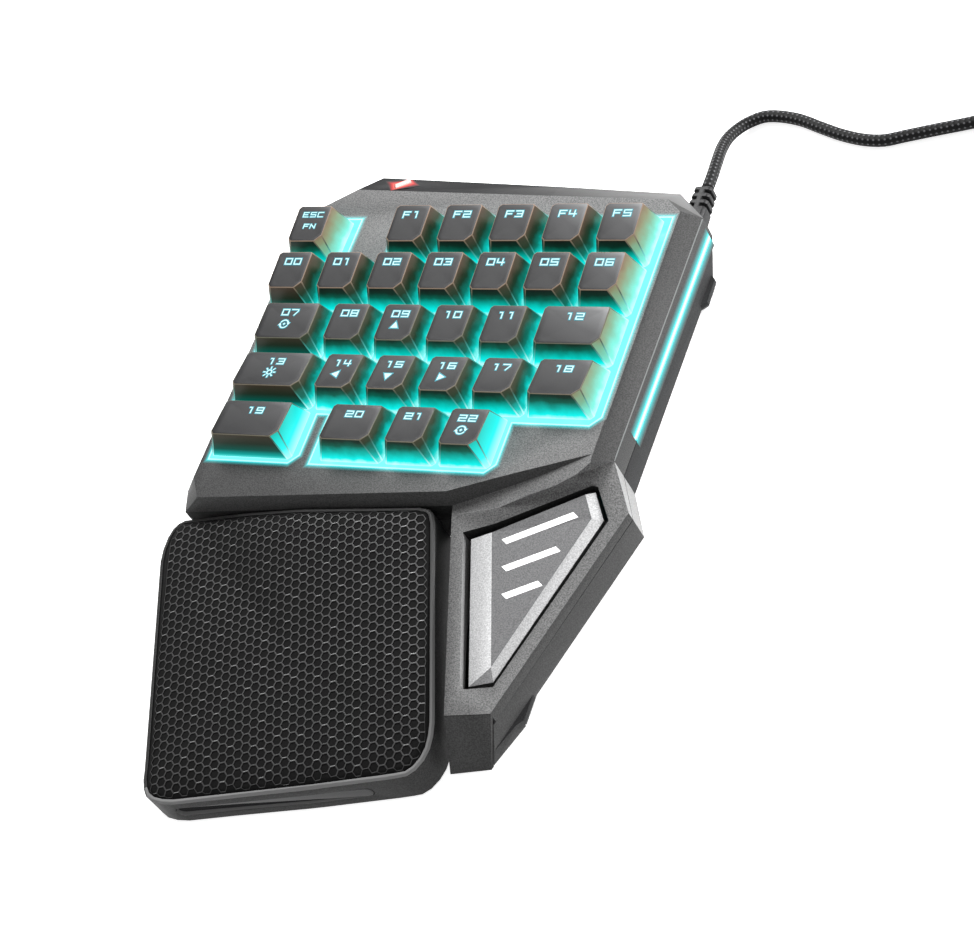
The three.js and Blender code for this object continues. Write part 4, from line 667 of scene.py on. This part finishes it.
def tube(name, points, radius, sides, body, material):
    """A closed tube whose UV runs in braid turns along it and strands round it."""
    rings, faces, uvs = [], [], []
    travelled = [0.0]
    for a, b in zip(points, points[1:]):
        travelled.append(travelled[-1] + (b - a).length)
    for i, p in enumerate(points):
        heading = (points[min(i + 1, len(points) - 1)] - points[max(i - 1, 0)]).normalized()
        side = Vector((-heading.y, heading.x, 0)).normalized()
        up = heading.cross(side)
        for k in range(sides):
            angle = (k + 0.5) / sides * 2 * math.pi
            reach = side * radius * math.cos(angle) + up * radius * math.sin(angle)
            rings.append(at(*(p + reach)))
    turn = 2 * math.pi
    strands = turn * BRAID_STRANDS / 2
    for i in range(len(points) - 1):
        for k in range(sides):
            n = (k + 1) % sides
            near, far = i * sides, (i + 1) * sides
            faces.append((near + k, near + n, far + n, far + k))
            u0, u1 = (way / BRAID_LENGTH * turn for way in travelled[i : i + 2])
            v0, v1 = k / sides * strands, (k + 1) / sides * strands
            uvs += [(u0, v0), (u0, v1), (u1, v1), (u1, v0)]
    faces.append(tuple(range(sides)))
    faces.append(tuple((len(points) - 1) * sides + k for k in reversed(range(sides))))
    uvs += [(0, 0)] * (2 * sides)
    piece = from_lists(name, rings, faces, body, [material], smooth=True)
    layer = piece.data.uv_layers.new(name="braid")
    for loop, uv in zip(layer.data, uvs):
        loop.uv = uv
    turn_outwards(piece.data)
    return piece


def make_cord():
    """The braided cable from the case to the plug, with its tie, plug and strain relief."""
    path = cable_path()
    cable = tube("cable", path, CABLE_RADIUS, CABLE_SIDES, "case", BRAID)
    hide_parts("cable_run", "cable_coil")
    others = [
        dressed("cable_tie", "case", [RUBBER], width=0.2, segments=2),
        dressed("usb_plug_grip", "case", [RUBBER], width=0.6),
        dressed("usb_plug_shell", "case", [STEEL], width=0.12, segments=2),
    ]
    dressed("strain_relief", "case", [RUBBER], width=0.3)


make_cord()


# Housing. The ridge is the line between the deck and the slope down to the thumb block.
RIDGE_START = (93.9, -99)
RIDGE_SLOPE = 0.4225
BAND_START_Y = 17.5
BEVEL_LEFT_X = 136.8
BEVEL_FRONT_Y = -80
WELL_LOW = Vector((0, -87, -7))
WELL_HIGH = Vector((136, 11, 0))
# The well's front right corner, whose walls stay dark
WELL_CORNER = (106.5, -69)
FACET_BACK_Y = -77
BLOCK_FRONT_Y = -160
BLOCK_WALL_Y = -90


def facet_slot(normal, centre):
    """1 for the facet at the corner of the thumb block, painted bright as a highlight, 0 for the
    rest.
    """
    faces_back_right = normal.z < 0.1 and normal.x > 0.7 and normal.y > 0.3
    return int(faces_back_right and to_grid(centre).y < FACET_BACK_Y)


def housing_slot(normal, centre):
    """0 deck, 1 back band, 2 dark sides, 3 lit walls, 4 front walls, 5 slopes, 6 facet, 7 block.

    Dark sides, front walls and slopes are painted shade, lit walls a painted glow, the facet a
    painted highlight.
    """
    p = to_grid(centre)
    if normal.z > 0.6 and p.y > BAND_START_Y and normal.y > 0.02:
        return 1
    if p.x > BEVEL_LEFT_X and p.y > BEVEL_FRONT_Y and normal.z > 0.3:
        return 2
    in_well = all(low < value < high for low, value, high in zip(WELL_LOW, p, WELL_HIGH))
    if in_well and abs(normal.z) < 0.2 and (p.y > WELL_CORNER[1] or p.x < WELL_CORNER[0]):
        return 3
    if facet_slot(normal, centre):
        return 6
    if normal.z < 0.1:
        return 4 if normal.y < -0.3 else 2
    over_ridge = p.y > RIDGE_START[1] + (p.x - RIDGE_START[0]) * RIDGE_SLOPE
    if normal.x < -0.3 or (normal.y < -0.35 and (over_ridge or p.y < BLOCK_FRONT_Y)):
        return 5
    return 0 if over_ridge else 7


def base_slot(normal, centre):
    """0 the base, 1 the facet in painted highlight, 2 the thumb block's right wall, painted
    lighter.
    """
    faces_front_right = abs(normal.z) < 0.2 and normal.x > 0.5 and normal.y < -0.2
    if faces_front_right and to_grid(centre).y < BLOCK_WALL_Y:
        return 2
    return facet_slot(normal, centre)


HOUSING_LOOKS = [DECK, BAND, BEVEL, WELL, SHADE, BEVEL, FACET_HIGHLIGHT, BLOCK]
dressed("top_housing", "case", HOUSING_LOOKS, housing_slot, width=0.5)
# The edge of the key opening on the deck
OPENING = [
    (1.9, -86.3), (32, -86.3), (35, -83.3), (35, -67.5), (40.1, -67.5), (40.1, -86.3),
    (102.6, -86.3), (105.6, -83.3), (105.6, -68), (132, -68), (135, -65), (135, 10.5),
    (36.5, 10.5), (36.5, -9.3), (20.8, -9.3), (20.8, 10.5), (0.05, 10.5), (0.05, -28.6),
    (1.9, -28.6),
]


def outset(points, distance):
    """A closed outline moved outwards, its corners mitred; the points run anticlockwise."""
    moved = []
    for i, p in enumerate(points):
        back, ahead = points[i - 1], points[(i + 1) % len(points)]
        d1 = Vector((p[0] - back[0], p[1] - back[1])).normalized()
        d2 = Vector((ahead[0] - p[0], ahead[1] - p[1])).normalized()
        middle = Vector((d1.y, -d1.x)) + Vector((d2.y, -d2.x))
        reach = distance / (middle.length_squared / 2)
        moved.append((p[0] + middle.x * reach, p[1] + middle.y * reach))
    return moved


# How far a band of light lies off the surface under it
SPILL_RISE = 0.04


def spill(name, lines, strengths, material, closed):
    """A band of faces between lines of points, with a glow strength for each line."""
    count = len(lines[0])
    points = [p for line in lines for p in line]
    faces = []
    for i in range(len(lines) - 1):
        for k in range(count if closed else count - 1):
            n = (k + 1) % count
            near, far = i * count, (i + 1) * count
            faces.append((near + k, near + n, far + n, far + k))
    piece = from_lists(name, points, faces, "case", [material])
    layer = piece.data.attributes.new("glow", "FLOAT", "POINT")
    for i in range(len(points)):
        layer.data[i].value = strengths[i // count]
    return piece


# Painted light of the backlight on the deck round the key opening
RIM_WIDTHS = (0, 0.35, 0.9, 2.0)
RIM_GLOWS = (1, 0.85, 0.4, 0)
RIM_RISE = 0.03
rim_lines = [[at(x, y, RIM_RISE) for x, y in outset(OPENING, width)] for width in RIM_WIDTHS]
spill("rim_glow", rim_lines, RIM_GLOWS, DECK_HALO, True)
# Painted highlight along the edge between the bevel and the right wall
RIDGE_HIGHLIGHT_CORNERS = [(142.8, 13.2, -4.05), (141.2, -77, -4.75), (143.1, 13.2, -4.25), (141.5, -77, -4.95)]
ridge_highlight_points = [at(*p) for p in RIDGE_HIGHLIGHT_CORNERS]
from_lists("ridge_highlight_strip", ridge_highlight_points, [(0, 2, 3, 1)], "case", [RIDGE_HIGHLIGHT])
# Painted red light of the lens on the band
LENS = [(28.45, 24.49), (33.35, 26.89), (32.65, 28.31), (27.75, 25.91)]
LENS_REACH = (0.25, 0.9, 1.8, 3.2)
LENS_GLOWS = (1, 0.75, 0.4, 0)
LENS_FALLBACK_Z = -0.5
# The band's front and back edge at BAND_X, and how much Y they lose for each step of X
BAND_X = 24
BAND_EDGES = (23.1, 28.6)
BAND_SLOPE = 0.05
housing_surface = surface_of("top_housing")
lens_lines = []
for reach in LENS_REACH:
    line = []
    for x, y in outset(LENS, reach):
        front, back = (edge - (x - BAND_X) * BAND_SLOPE for edge in BAND_EDGES)
        y = min(max(y, front), back)
        height = height_on(housing_surface, x, y, LENS_FALLBACK_Z)
        line.append(at(x, y, height + SPILL_RISE))
    lens_lines.append(line)
spill("lens_glow", lens_lines, LENS_GLOWS, RED_HALO, True)
# Painted light of the strip on the right wall over and under it
WALL_BACK, WALL_FRONT = (143.1, 13.6), (141.5, -77.3)
STRIP_ENDS = (-64.8, 12.2)
STRIP_EDGES = ((STRIP_HIGH, 1), (STRIP_LOW, -1))
STRIP_REACH = (0, 0.8, 1.7, 3.2)
STRIP_GLOWS = (0.65, 0.45, 0.28, 0)
for number, (level, way) in enumerate(STRIP_EDGES, 1):
    wall_lines = []
    for reach in STRIP_REACH:
        line = []
        for y in STRIP_ENDS:
            share = (WALL_BACK[1] - y) / (WALL_BACK[1] - WALL_FRONT[1])
            x = WALL_BACK[0] + (WALL_FRONT[0] - WALL_BACK[0]) * share
            line.append(at(x + SPILL_RISE, y, level + way * reach))
        wall_lines.append(line)
    spill(f"strip_glow_{number}", wall_lines, STRIP_GLOWS, WALL_HALO, False)

dressed("bottom_housing", "case", [BASE, FACET_HIGHLIGHT, BASE_LIT], base_slot, width=0.6, segments=2)
dressed("right_light_strip", "case", [STRIP], width=0.2, segments=2)
dressed("status_lens", "case", [RED_LENS], width=0.15, segments=2)
dressed("key_plate", "case", [WELL], width=0)
dressed("dome_sheet", "case", [SILICONE], width=0)
dressed("circuit_board", "case", [BOARD], width=0)
dressed("ballast_plate", "case", [STEEL], width=0)
dressed("thumb_pivot_pin", "case", [STEEL], width=0.1, segments=1)
dressed("thumb_dome", "case", [SILICONE], width=0.3)
for number in range(1, 6):
    dressed(f"case_screw_{number}", "case", [STEEL], width=0.2, segments=2)
for number in range(1, 5):
    dressed(f"case_foot_{number}", "case", [RUBBER], width=0.2, segments=2)


# Keys and their legends. A cap top's back edge lies CAP_TOP_BACK behind its row's middle.
# LEGEND_DROP and SYMBOL_DROP run from that edge forwards, FN_DROP from the first sign's middle.
CAP_TOP_BACK = 7.7
LEGEND_DROP = 3.5
LEGEND_HEIGHT = 2.1
LEGEND_WIDTH = 2.35
LEGEND_STEP = 3.5
LEGEND_STROKE = 0.38
LEGEND_HALO = 0.24
LEGEND_RISE = 0.03
SYMBOL_DROP = 8.1
SYMBOL_LEFT = 0.6
TIP_HALO = 1.45
ESC_RISE = 0.3
ESC_SCALE = 0.82
ESC_STROKE = 0.8
FN_DROP = 4.2
FN_SCALE = 0.9
# Strokes of each sign on a grid of 0 to 1, left to right and bottom to top
SIGNS = {
    "0": [[(0, 0), (1, 0), (1, 1), (0, 1), (0, 0)]],
    "1": [[(0.25, 1), (0.6, 1), (0.6, 0)]],
    "2": [[(0, 1), (1, 1), (1, 0.5), (0, 0.5), (0, 0), (1, 0)]],
    "3": [[(0, 1), (1, 1), (1, 0), (0, 0)], [(0.25, 0.5), (1, 0.5)]],
    "4": [[(0, 1), (0, 0.4), (1, 0.4)], [(0.78, 1), (0.78, 0)]],
    "5": [[(1, 1), (0, 1), (0, 0.5), (1, 0.5), (1, 0), (0, 0)]],
    "6": [[(1, 1), (0, 1), (0, 0), (1, 0), (1, 0.5), (0, 0.5)]],
    "7": [[(0, 1), (1, 1), (1, 0.7), (0.55, 0)]],
    "8": [[(0, 0), (1, 0), (1, 1), (0, 1), (0, 0)], [(0, 0.5), (1, 0.5)]],
    "9": [[(1, 0.5), (0, 0.5), (0, 1), (1, 1), (1, 0), (0, 0)]],
    "F": [[(1, 1), (0, 1), (0, 0)], [(0, 0.5), (0.8, 0.5)]],
    "E": [[(1, 1), (0, 1), (0, 0), (1, 0)], [(0, 0.5), (0.8, 0.5)]],
    "S": [[(1, 1), (0, 1), (0, 0.5), (1, 0.5), (1, 0), (0, 0)]],
    "C": [[(1, 1), (0, 1), (0, 0), (1, 0)]],
    "N": [[(0, 0), (0, 1), (1, 0), (1, 1)]],
}
# Row of each key, and its start and end in that row, in pitches
KEY_ROWS = {
    "key_esc": (0, 0, 1), **{f"key_f{i + 1}": (0, i + 2, i + 3) for i in range(5)},
    **{f"key_{i:02d}": (1, i, i + 1) for i in range(7)},
    "key_07": (2, 0, 1.5), **{f"key_{i + 8:02d}": (2, i + 1.5, i + 2.5) for i in range(4)},
    "key_12": (2, 5.5, 7),
    "key_13": (3, 0, 1.75), **{f"key_{i + 14:02d}": (3, i + 1.75, i + 2.75) for i in range(4)},
    "key_18": (3, 5.75, 7),
    "key_19": (4, 0, 1.75), "key_20": (4, 2.25, 3.5), "key_21": (4, 3.5, 4.5),
    "key_22": (4, 4.5, 5.5),
}
SYMBOLS = {
    "key_09": "up", "key_15": "down", "key_14": "left", "key_16": "right",
    "key_07": "cycle", "key_22": "cycle", "key_13": "sun",
}


def stroke_faces(lines, half, points, faces):
    """Flat quads along polylines, each run longer by half a stroke so that corners are square."""
    for line in lines:
        for a, b in zip(line, line[1:]):
            run = Vector((b[0] - a[0], b[1] - a[1]))
            if run.length < WELD:
                continue
            run.normalize()
            side = Vector((-run.y, run.x)) * half
            start, end = Vector(a) - run * half, Vector(b) + run * half
            base = len(points)
            points += [start - side, end - side, end + side, start + side]
            faces.append(tuple(range(base, base + 4)))


def circle_line(x, y, radius, start, end, steps):
    """A polyline along an arc, from one angle to another."""
    return [
        (x + radius * math.cos(math.radians(start + (end - start) * i / steps)),
         y + radius * math.sin(math.radians(start + (end - start) * i / steps)))
        for i in range(steps + 1)
    ]


def triangle_at(x, y, size, angle):
    """An even triangle that points the way of the angle."""
    corners = []
    for i in range(3):
        turn = math.radians(angle + i * 120)
        corners.append((x + size * math.cos(turn), y + size * math.sin(turn)))
    return corners


ARROWS = {"up": 90, "down": 270, "left": 180, "right": 0}
ARROW_SIZE = 1.6
# The turning arrow: its two arcs, the dot in the middle, and its heads with their angles
CYCLE_ARCS = ((20, 150), (200, 330))
CYCLE_RADIUS = 1.5
CYCLE_DOT = 0.2
CYCLE_HEADS = ((1.55, 0.2, 270), (-1.55, -0.2, 90))
HEAD_SIZE = 0.7
# The sun: its disc, its rays, and where they start and end
SUN_RADIUS = 0.9
SUN_RAYS = 8
SUN_REACH = (1.6, 2.1)


def symbol_shapes(kind, x, y):
    """The lines and the filled triangles of a small sign."""
    if kind in ARROWS:
        return [], [triangle_at(x, y, ARROW_SIZE, ARROWS[kind])]
    if kind == "cycle":
        lines = [circle_line(x, y, CYCLE_RADIUS, *arc, 7) for arc in CYCLE_ARCS]
        lines.append(circle_line(x, y, CYCLE_DOT, 0, 360, 4))
        tips = [triangle_at(x + dx, y + dy, HEAD_SIZE, angle) for dx, dy, angle in CYCLE_HEADS]
        return lines, tips
    lines = [circle_line(x, y, SUN_RADIUS, 0, 360, 10)]
    for i in range(SUN_RAYS):
        turn = math.radians(i * 360 / SUN_RAYS)
        lines.append([(x + r * math.cos(turn), y + r * math.sin(turn)) for r in SUN_REACH])
    return lines, []


def text_lines(text, x, y, scale=1.0):
    """Polylines of a word centred at x, y."""
    step, width, height = LEGEND_STEP * scale, LEGEND_WIDTH * scale, LEGEND_HEIGHT * scale
    start = x - (step * (len(text) - 1) + width) / 2
    lines = []
    for i, sign in enumerate(text):
        for line in SIGNS[sign]:
            lines.append([(start + i * step + u * width, y + (v - 0.5) * height) for u, v in line])
    return lines


def make_legend(name, x, y, surface, body):
    """A key's sign as flat shapes on its top: a wider halo and the bright stroke over it."""
    middle_y = y + CAP_TOP_BACK - LEGEND_DROP
    tips, stroke = [], 1
    if name == "key_esc":
        stroke = ESC_STROKE
        lines = text_lines("ESC", x, middle_y + ESC_RISE, ESC_SCALE)
        lines += text_lines("FN", x, middle_y - FN_DROP, ESC_SCALE * FN_SCALE)
    else:
        lines = text_lines(name.removeprefix("key_").upper(), x, middle_y)
    if name in SYMBOLS:
        symbol_y = y + CAP_TOP_BACK - SYMBOL_DROP
        more, tips = symbol_shapes(SYMBOLS[name], x - SYMBOL_LEFT, symbol_y)
        lines += more
    points, faces, slots, heights = [], [], [], []
    for slot, half, rise in ((0, LEGEND_STROKE / 2 + LEGEND_HALO, 1), (1, LEGEND_STROKE / 2, 2)):
        before_points, before_faces = len(points), len(faces)
        stroke_faces(lines, half * stroke, points, faces)
        for tip in tips:
            base = len(points)
            middle = Vector((sum(p[0] for p in tip) / 3, sum(p[1] for p in tip) / 3))
            grow = TIP_HALO if slot == 0 else 1.0
            points += [middle + (Vector(p) - middle) * grow for p in tip]
            faces.append(tuple(range(base, base + 3)))
        heights += [rise * LEGEND_RISE] * (len(points) - before_points)
        slots += [slot] * (len(faces) - before_faces)
    placed = [
        at(p.x, p.y, height_on(surface, p.x, p.y) + rise) for p, rise in zip(points, heights)
    ]
    piece = from_lists(name + "_legend", placed, faces, body, [LEGEND_EDGE, LEGEND], slots)


def cap_slot(normal, centre):
    """0 the top, 1 the right side, 2 the other sides and the underside."""
    if normal.z > TOP_NORMAL:
        return 0
    if normal.z < -0.5:
        return 2
    return 1 if normal.x > 0.4 else 2


# Keys whose right side, top or front has other painted light than the rest
OUTER_KEYS = ("key_esc", "key_f5", "key_06", "key_12", "key_18")
LIT_KEYS = ("key_f4", "key_f5", "key_06", "key_12")
CYAN_KEYS = ("key_19", "key_22")
LEFT_KEYS = ("key_00", "key_07", "key_13", "key_19")
# Width, segments and least angle of a cap's bevel
CAP_BEVEL = (0.3, 2, 34)
for name, (row, start, end) in KEY_ROWS.items():
    body = name + "_body"
    side = CAP_OUTER if name in OUTER_KEYS else CAP_CYAN if name in CYAN_KEYS else CAP_RIGHT
    front = CAP_LEFT_FRONT if name in LEFT_KEYS else CAP_FRONT
    top = CAP_TOP_LIT if name in LIT_KEYS else CAP_TOP
    looks = [top, side, front, CAP_EDGE_HIGHLIGHT]
    cap = dressed(name, body, looks, cap_slot, *CAP_BEVEL, merge=False, pair=True)
    cap.modifiers["edges"].material = looks.index(CAP_EDGE_HIGHLIGHT)
    low, high = (to_grid(corner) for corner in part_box(name))
    make_legend(name, (low.x + high.x) / 2, -row * KEY_PITCH, surface_of(name), body)


# Thumb key: width, segments and least angle of its bevel
THUMB_BEVEL = (0.45, 3, 4)


def thumb_slot(normal, centre):
    """0 the panel, 1 the bright facets round it, 2 the walls, 3 the facet at its narrow end.

    Their different tones are painted light and shade.
    """
    if normal.z < 0.3:
        return 2
    if normal.z > 0.97:
        return 1 if normal.x < -0.1 else 0
    return 3 if normal.y < -0.3 and normal.x < 0.3 else 1


THUMB_LOOKS = [THUMB_PANEL, THUMB_HIGHLIGHT, BEVEL, THUMB_SIDE]
dressed("thumb_key", "thumb", THUMB_LOOKS, thumb_slot, *THUMB_BEVEL)
# Three slanted bars on the thumb key: start, end in the key grid
THUMB_BARS = [
    ((114.5, -106), (133.5, -95.5)), ((117.5, -115), (131.5, -107.2)),
    ((120.5, -124), (129.5, -119)),
]
THUMB_BAR_HALF = 1.1
THUMB_BAR_RISE = 0.05


def make_thumb_bars():
    """Flat bars with slanted ends, on the thumb key's panel."""
    surface = surface_of("thumb_key")
    points, faces = [], []
    for start, end in THUMB_BARS:
        run = (Vector(end) - Vector(start)).normalized()
        side = Vector((-run.y, run.x)) * THUMB_BAR_HALF
        slant = run * THUMB_BAR_HALF
        base = len(points)
        a, b = Vector(start), Vector(end)
        points += [a - side, b - side + slant, b + side, a + side - slant]
        faces.append(tuple(range(base, base + 4)))
    placed = [at(p.x, p.y, height_on(surface, p.x, p.y) + THUMB_BAR_RISE) for p in points]
    bars = from_lists("thumb_bars", placed, faces, "thumb", [STROKE])


make_thumb_bars()


# Palm rest. The rim is in painted shade to the left of FRAME_SHADE_X.
FRAME_SHADE_X = 19


def frame_slot(normal, centre):
    """0 the rim, 1 the walls and the rim's left side in painted shade."""
    left_rim = normal.x < -0.3 or to_grid(centre).x < FRAME_SHADE_X
    return 1 if normal.z < 0.2 or left_rim else 0


dressed("palm_rest_base", "palm_rest", [FRAME, FRAME_SHADE], frame_slot, width=0.7, segments=3)
dressed("palm_rest_insert", "palm_rest", [GLOSS], width=0.3)
for number in (1, 2):
    dressed(f"palm_foot_{number}", "palm_rest", [RUBBER], width=0.2, segments=2)

# The palm rest's outline, anticlockwise
PALM_EDGE = [
    (21.6, -198.8), (28.9, -199.6), (49.3, -194.9), (73.1, -189.7), (89.1, -185.7),
    (101.7, -182.6), (107.2, -180.8), (110.6, -174.4), (110.4, -166.8), (99.2, -133.2),
    (92.9, -114.1), (88.2, -99.2), (84.7, -96.8), (40.4, -100.2), (19.4, -102), (-0.5, -103.9),
    (-5.6, -104.7), (-8.5, -108.9), (-8.3, -117.7), (5.9, -157.9), (15.6, -186.9), (18, -194.6),
]
PALM_MARGIN = 1.8
PALM_MIDDLE = (51, -148)
PALM_TURN = math.radians(19)
# Cells: least distance of a middle from the margin, rows and columns on each side of the middle
CELL_LEAST = 0.5
CELL_ROWS = 20
CELL_COLUMNS = 26
# Width of a cell and of its ridge, the ridge's height over the pad, how much lower its inner
# edge is, the cell's depth under the ridge, and how much its floor is drawn in
CELL_ACROSS = 3.0
CELL_RIDGE = 0.42
CELL_RISE = 0.25
CELL_LIP = 0.02
CELL_DEPTH = 0.55
CELL_TAPER = 0.93
# The side of each cell whose ridge gets a painted highlight, and one in how many of these
# get a brighter painted glint
LIT_SIDE = 1
GLINT_EVERY = 9
INWARD_STEP = 0.2


def inside_edge(x, y, margin):
    """Whether a point lies in the palm rest's outline, at least a margin away from it."""
    count = len(PALM_EDGE)
    for i, (x0, y0) in enumerate(PALM_EDGE):
        x1, y1 = PALM_EDGE[(i + 1) % count]
        length = math.hypot(x1 - x0, y1 - y0)
        if ((x1 - x0) * (y - y0) - (y1 - y0) * (x - x0)) / length < margin:
            return False
    return True


def pulled_in(p, margin):
    """The point, moved off the outline's edges where it comes nearer to them than the margin."""
    for i, start in enumerate(PALM_EDGE):
        a, b = Vector(start), Vector(PALM_EDGE[(i + 1) % len(PALM_EDGE)])
        run = (b - a).normalized()
        inward = Vector((-run.y, run.x))
        short = margin - (p - a).dot(inward)
        if short > 0:
            p = p + inward * short
    return p


def glints(row, column):
    """Whether a cell's lit ridge gets a painted glint; a fixed rule that looks scattered."""
    return (row * row * 3 + column * 7 + row * column * 5) % GLINT_EVERY == 0


def make_pad():
    """The pad's body with a honeycomb of raised ridges over sunk cells."""
    body = dressed("palm_rest_pad", "palm_rest", [PAD_CELL], None, 0, merge=False)
    surface = surface_of("palm_rest_pad")
    across = Vector((math.cos(PALM_TURN), math.sin(PALM_TURN)))
    along = Vector((math.sin(PALM_TURN), -math.cos(PALM_TURN)))
    radius = CELL_ACROSS / math.sqrt(3)
    share = 1 - CELL_RIDGE / CELL_ACROSS
    middle = Vector(PALM_MIDDLE)
    points, faces, slots, index = [], [], [], {}

    def corner(p, drop):
        """The number of a point on the pad, moved inwards until the surface is under it."""
        height = height_on(surface, p.x, p.y, None)
        while height is None:
            p = p + (middle - p).normalized() * INWARD_STEP
            height = height_on(surface, p.x, p.y, None)
        key = (round(p.x, 2), round(p.y, 2), drop)
        if key not in index:
            index[key] = len(points)
            points.append(at(p.x, p.y, height + CELL_RISE - drop))
        return index[key]

    for row in range(-CELL_ROWS, CELL_ROWS + 1):
        for column in range(-CELL_COLUMNS, CELL_COLUMNS + 1):
            shift = 0.5 if row % 2 else 0.0
            centre = middle + along * (column + shift) * CELL_ACROSS + across * row * radius * 1.5
            if not inside_edge(centre.x, centre.y, PALM_MARGIN + CELL_LEAST):
                continue
            ring = []
            for k in range(6):
                turn = math.radians(60 * k)
                reach = across * radius * math.cos(turn)
                p = centre + reach + along * radius * math.sin(turn)
                ring.append(pulled_in(p, PALM_MARGIN))
            outer = [corner(p, 0) for p in ring]
            inner = [corner(centre + (p - centre) * share, CELL_LIP) for p in ring]
            floor = [corner(centre + (p - centre) * share * CELL_TAPER, CELL_DEPTH) for p in ring]
            for k in range(6):
                n = (k + 1) % 6
                faces += [(outer[k], inner[k], inner[n], outer[n])]
                faces += [(inner[k], floor[k], floor[n], inner[n])]
                look = 1
                if k == LIT_SIDE:
                    look = 2 if glints(row, column) else 3
                slots += [look, 0]
            faces.append(tuple(floor))
            slots.append(0)
    looks = [PAD_CELL, PAD_RIDGE, PAD_GLINT, PAD_RIDGE_LIT]
    comb = from_lists("pad_honeycomb", points, faces, "palm_rest", looks, slots)
    turn_outwards(comb.data, upwards=True)


make_pad()


# Floor, lights and surroundings
FLOOR_SIZE = 30
FLOOR_DROP = 0.0002
FLOOR_LIFT = 0.75
WORLD_LEVEL = 0.4


def seen_rays(tree, level, otherwise=0.0):
    """One level for rays that show the background, another for the rays that light the object."""
    path = tree.nodes.new("ShaderNodeLightPath")
    total = path.outputs["Is Camera Ray"]
    for output in ("Is Glossy Ray", "Is Transmission Ray"):
        total = calculate(tree, "MAXIMUM", total, path.outputs[output])
    return spread(tree, total, to_low=otherwise, to_high=level)


def make_stage():
    """A white floor and surroundings, brighter to the eye than as a light."""
    bpy.ops.mesh.primitive_plane_add(size=FLOOR_SIZE, location=(0, 0, -FLOOR_DROP))
    floor = bpy.context.object
    floor.name = "floor"
    material, tree, shader = new_material("floor_white")
    shader.inputs["Base Color"].default_value = (0.9, 0.9, 0.9, 1)
    shader.inputs["Roughness"].default_value = 1.0
    shader.inputs["Emission Color"].default_value = (1, 1, 1, 1)
    tree.links.new(seen_rays(tree, FLOOR_LIFT), shader.inputs["Emission Strength"])
    floor.data.materials.append(material)
    floor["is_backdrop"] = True
    world = bpy.data.worlds.new("world")
    bpy.context.scene.world = world
    world.use_nodes = True
    tree = world.node_tree
    background = tree.nodes["Background"]
    background.inputs["Color"].default_value = (1, 1, 1, 1)
    tree.links.new(seen_rays(tree, 1.0, WORLD_LEVEL), background.inputs["Strength"])


# Place, target, size in metres and power in watts of each lamp
LAMPS = {
    "key_lamp": ((-0.25, 0.5, 0.6), (0, 0.02, 0), 0.4, 8),
    "side_lamp": ((0.65, 0.6, 0.22), (0.05, 0, 0), 0.25, 9.5),
    "fill_lamp": ((0.6, -0.9, 0.8), (0, 0, 0), 0.9, 1.5),
}


def add_lamp(name, place, target, size, power):
    """A round area lamp that looks from its place at the target."""
    data = bpy.data.lights.new(name, "AREA")
    data.shape = "DISK"
    data.size = size
    data.energy = power
    lamp = bpy.data.objects.new(name, data)
    bpy.context.collection.objects.link(lamp)
    place, target = Vector(place), Vector(target)
    lamp.location = place
    lamp.rotation_mode = "QUATERNION"
    lamp.rotation_quaternion = (target - place).to_track_quat("-Z", "Y")


make_stage()
for name, settings in LAMPS.items():
    add_lamp(name, *settings)

low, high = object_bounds()
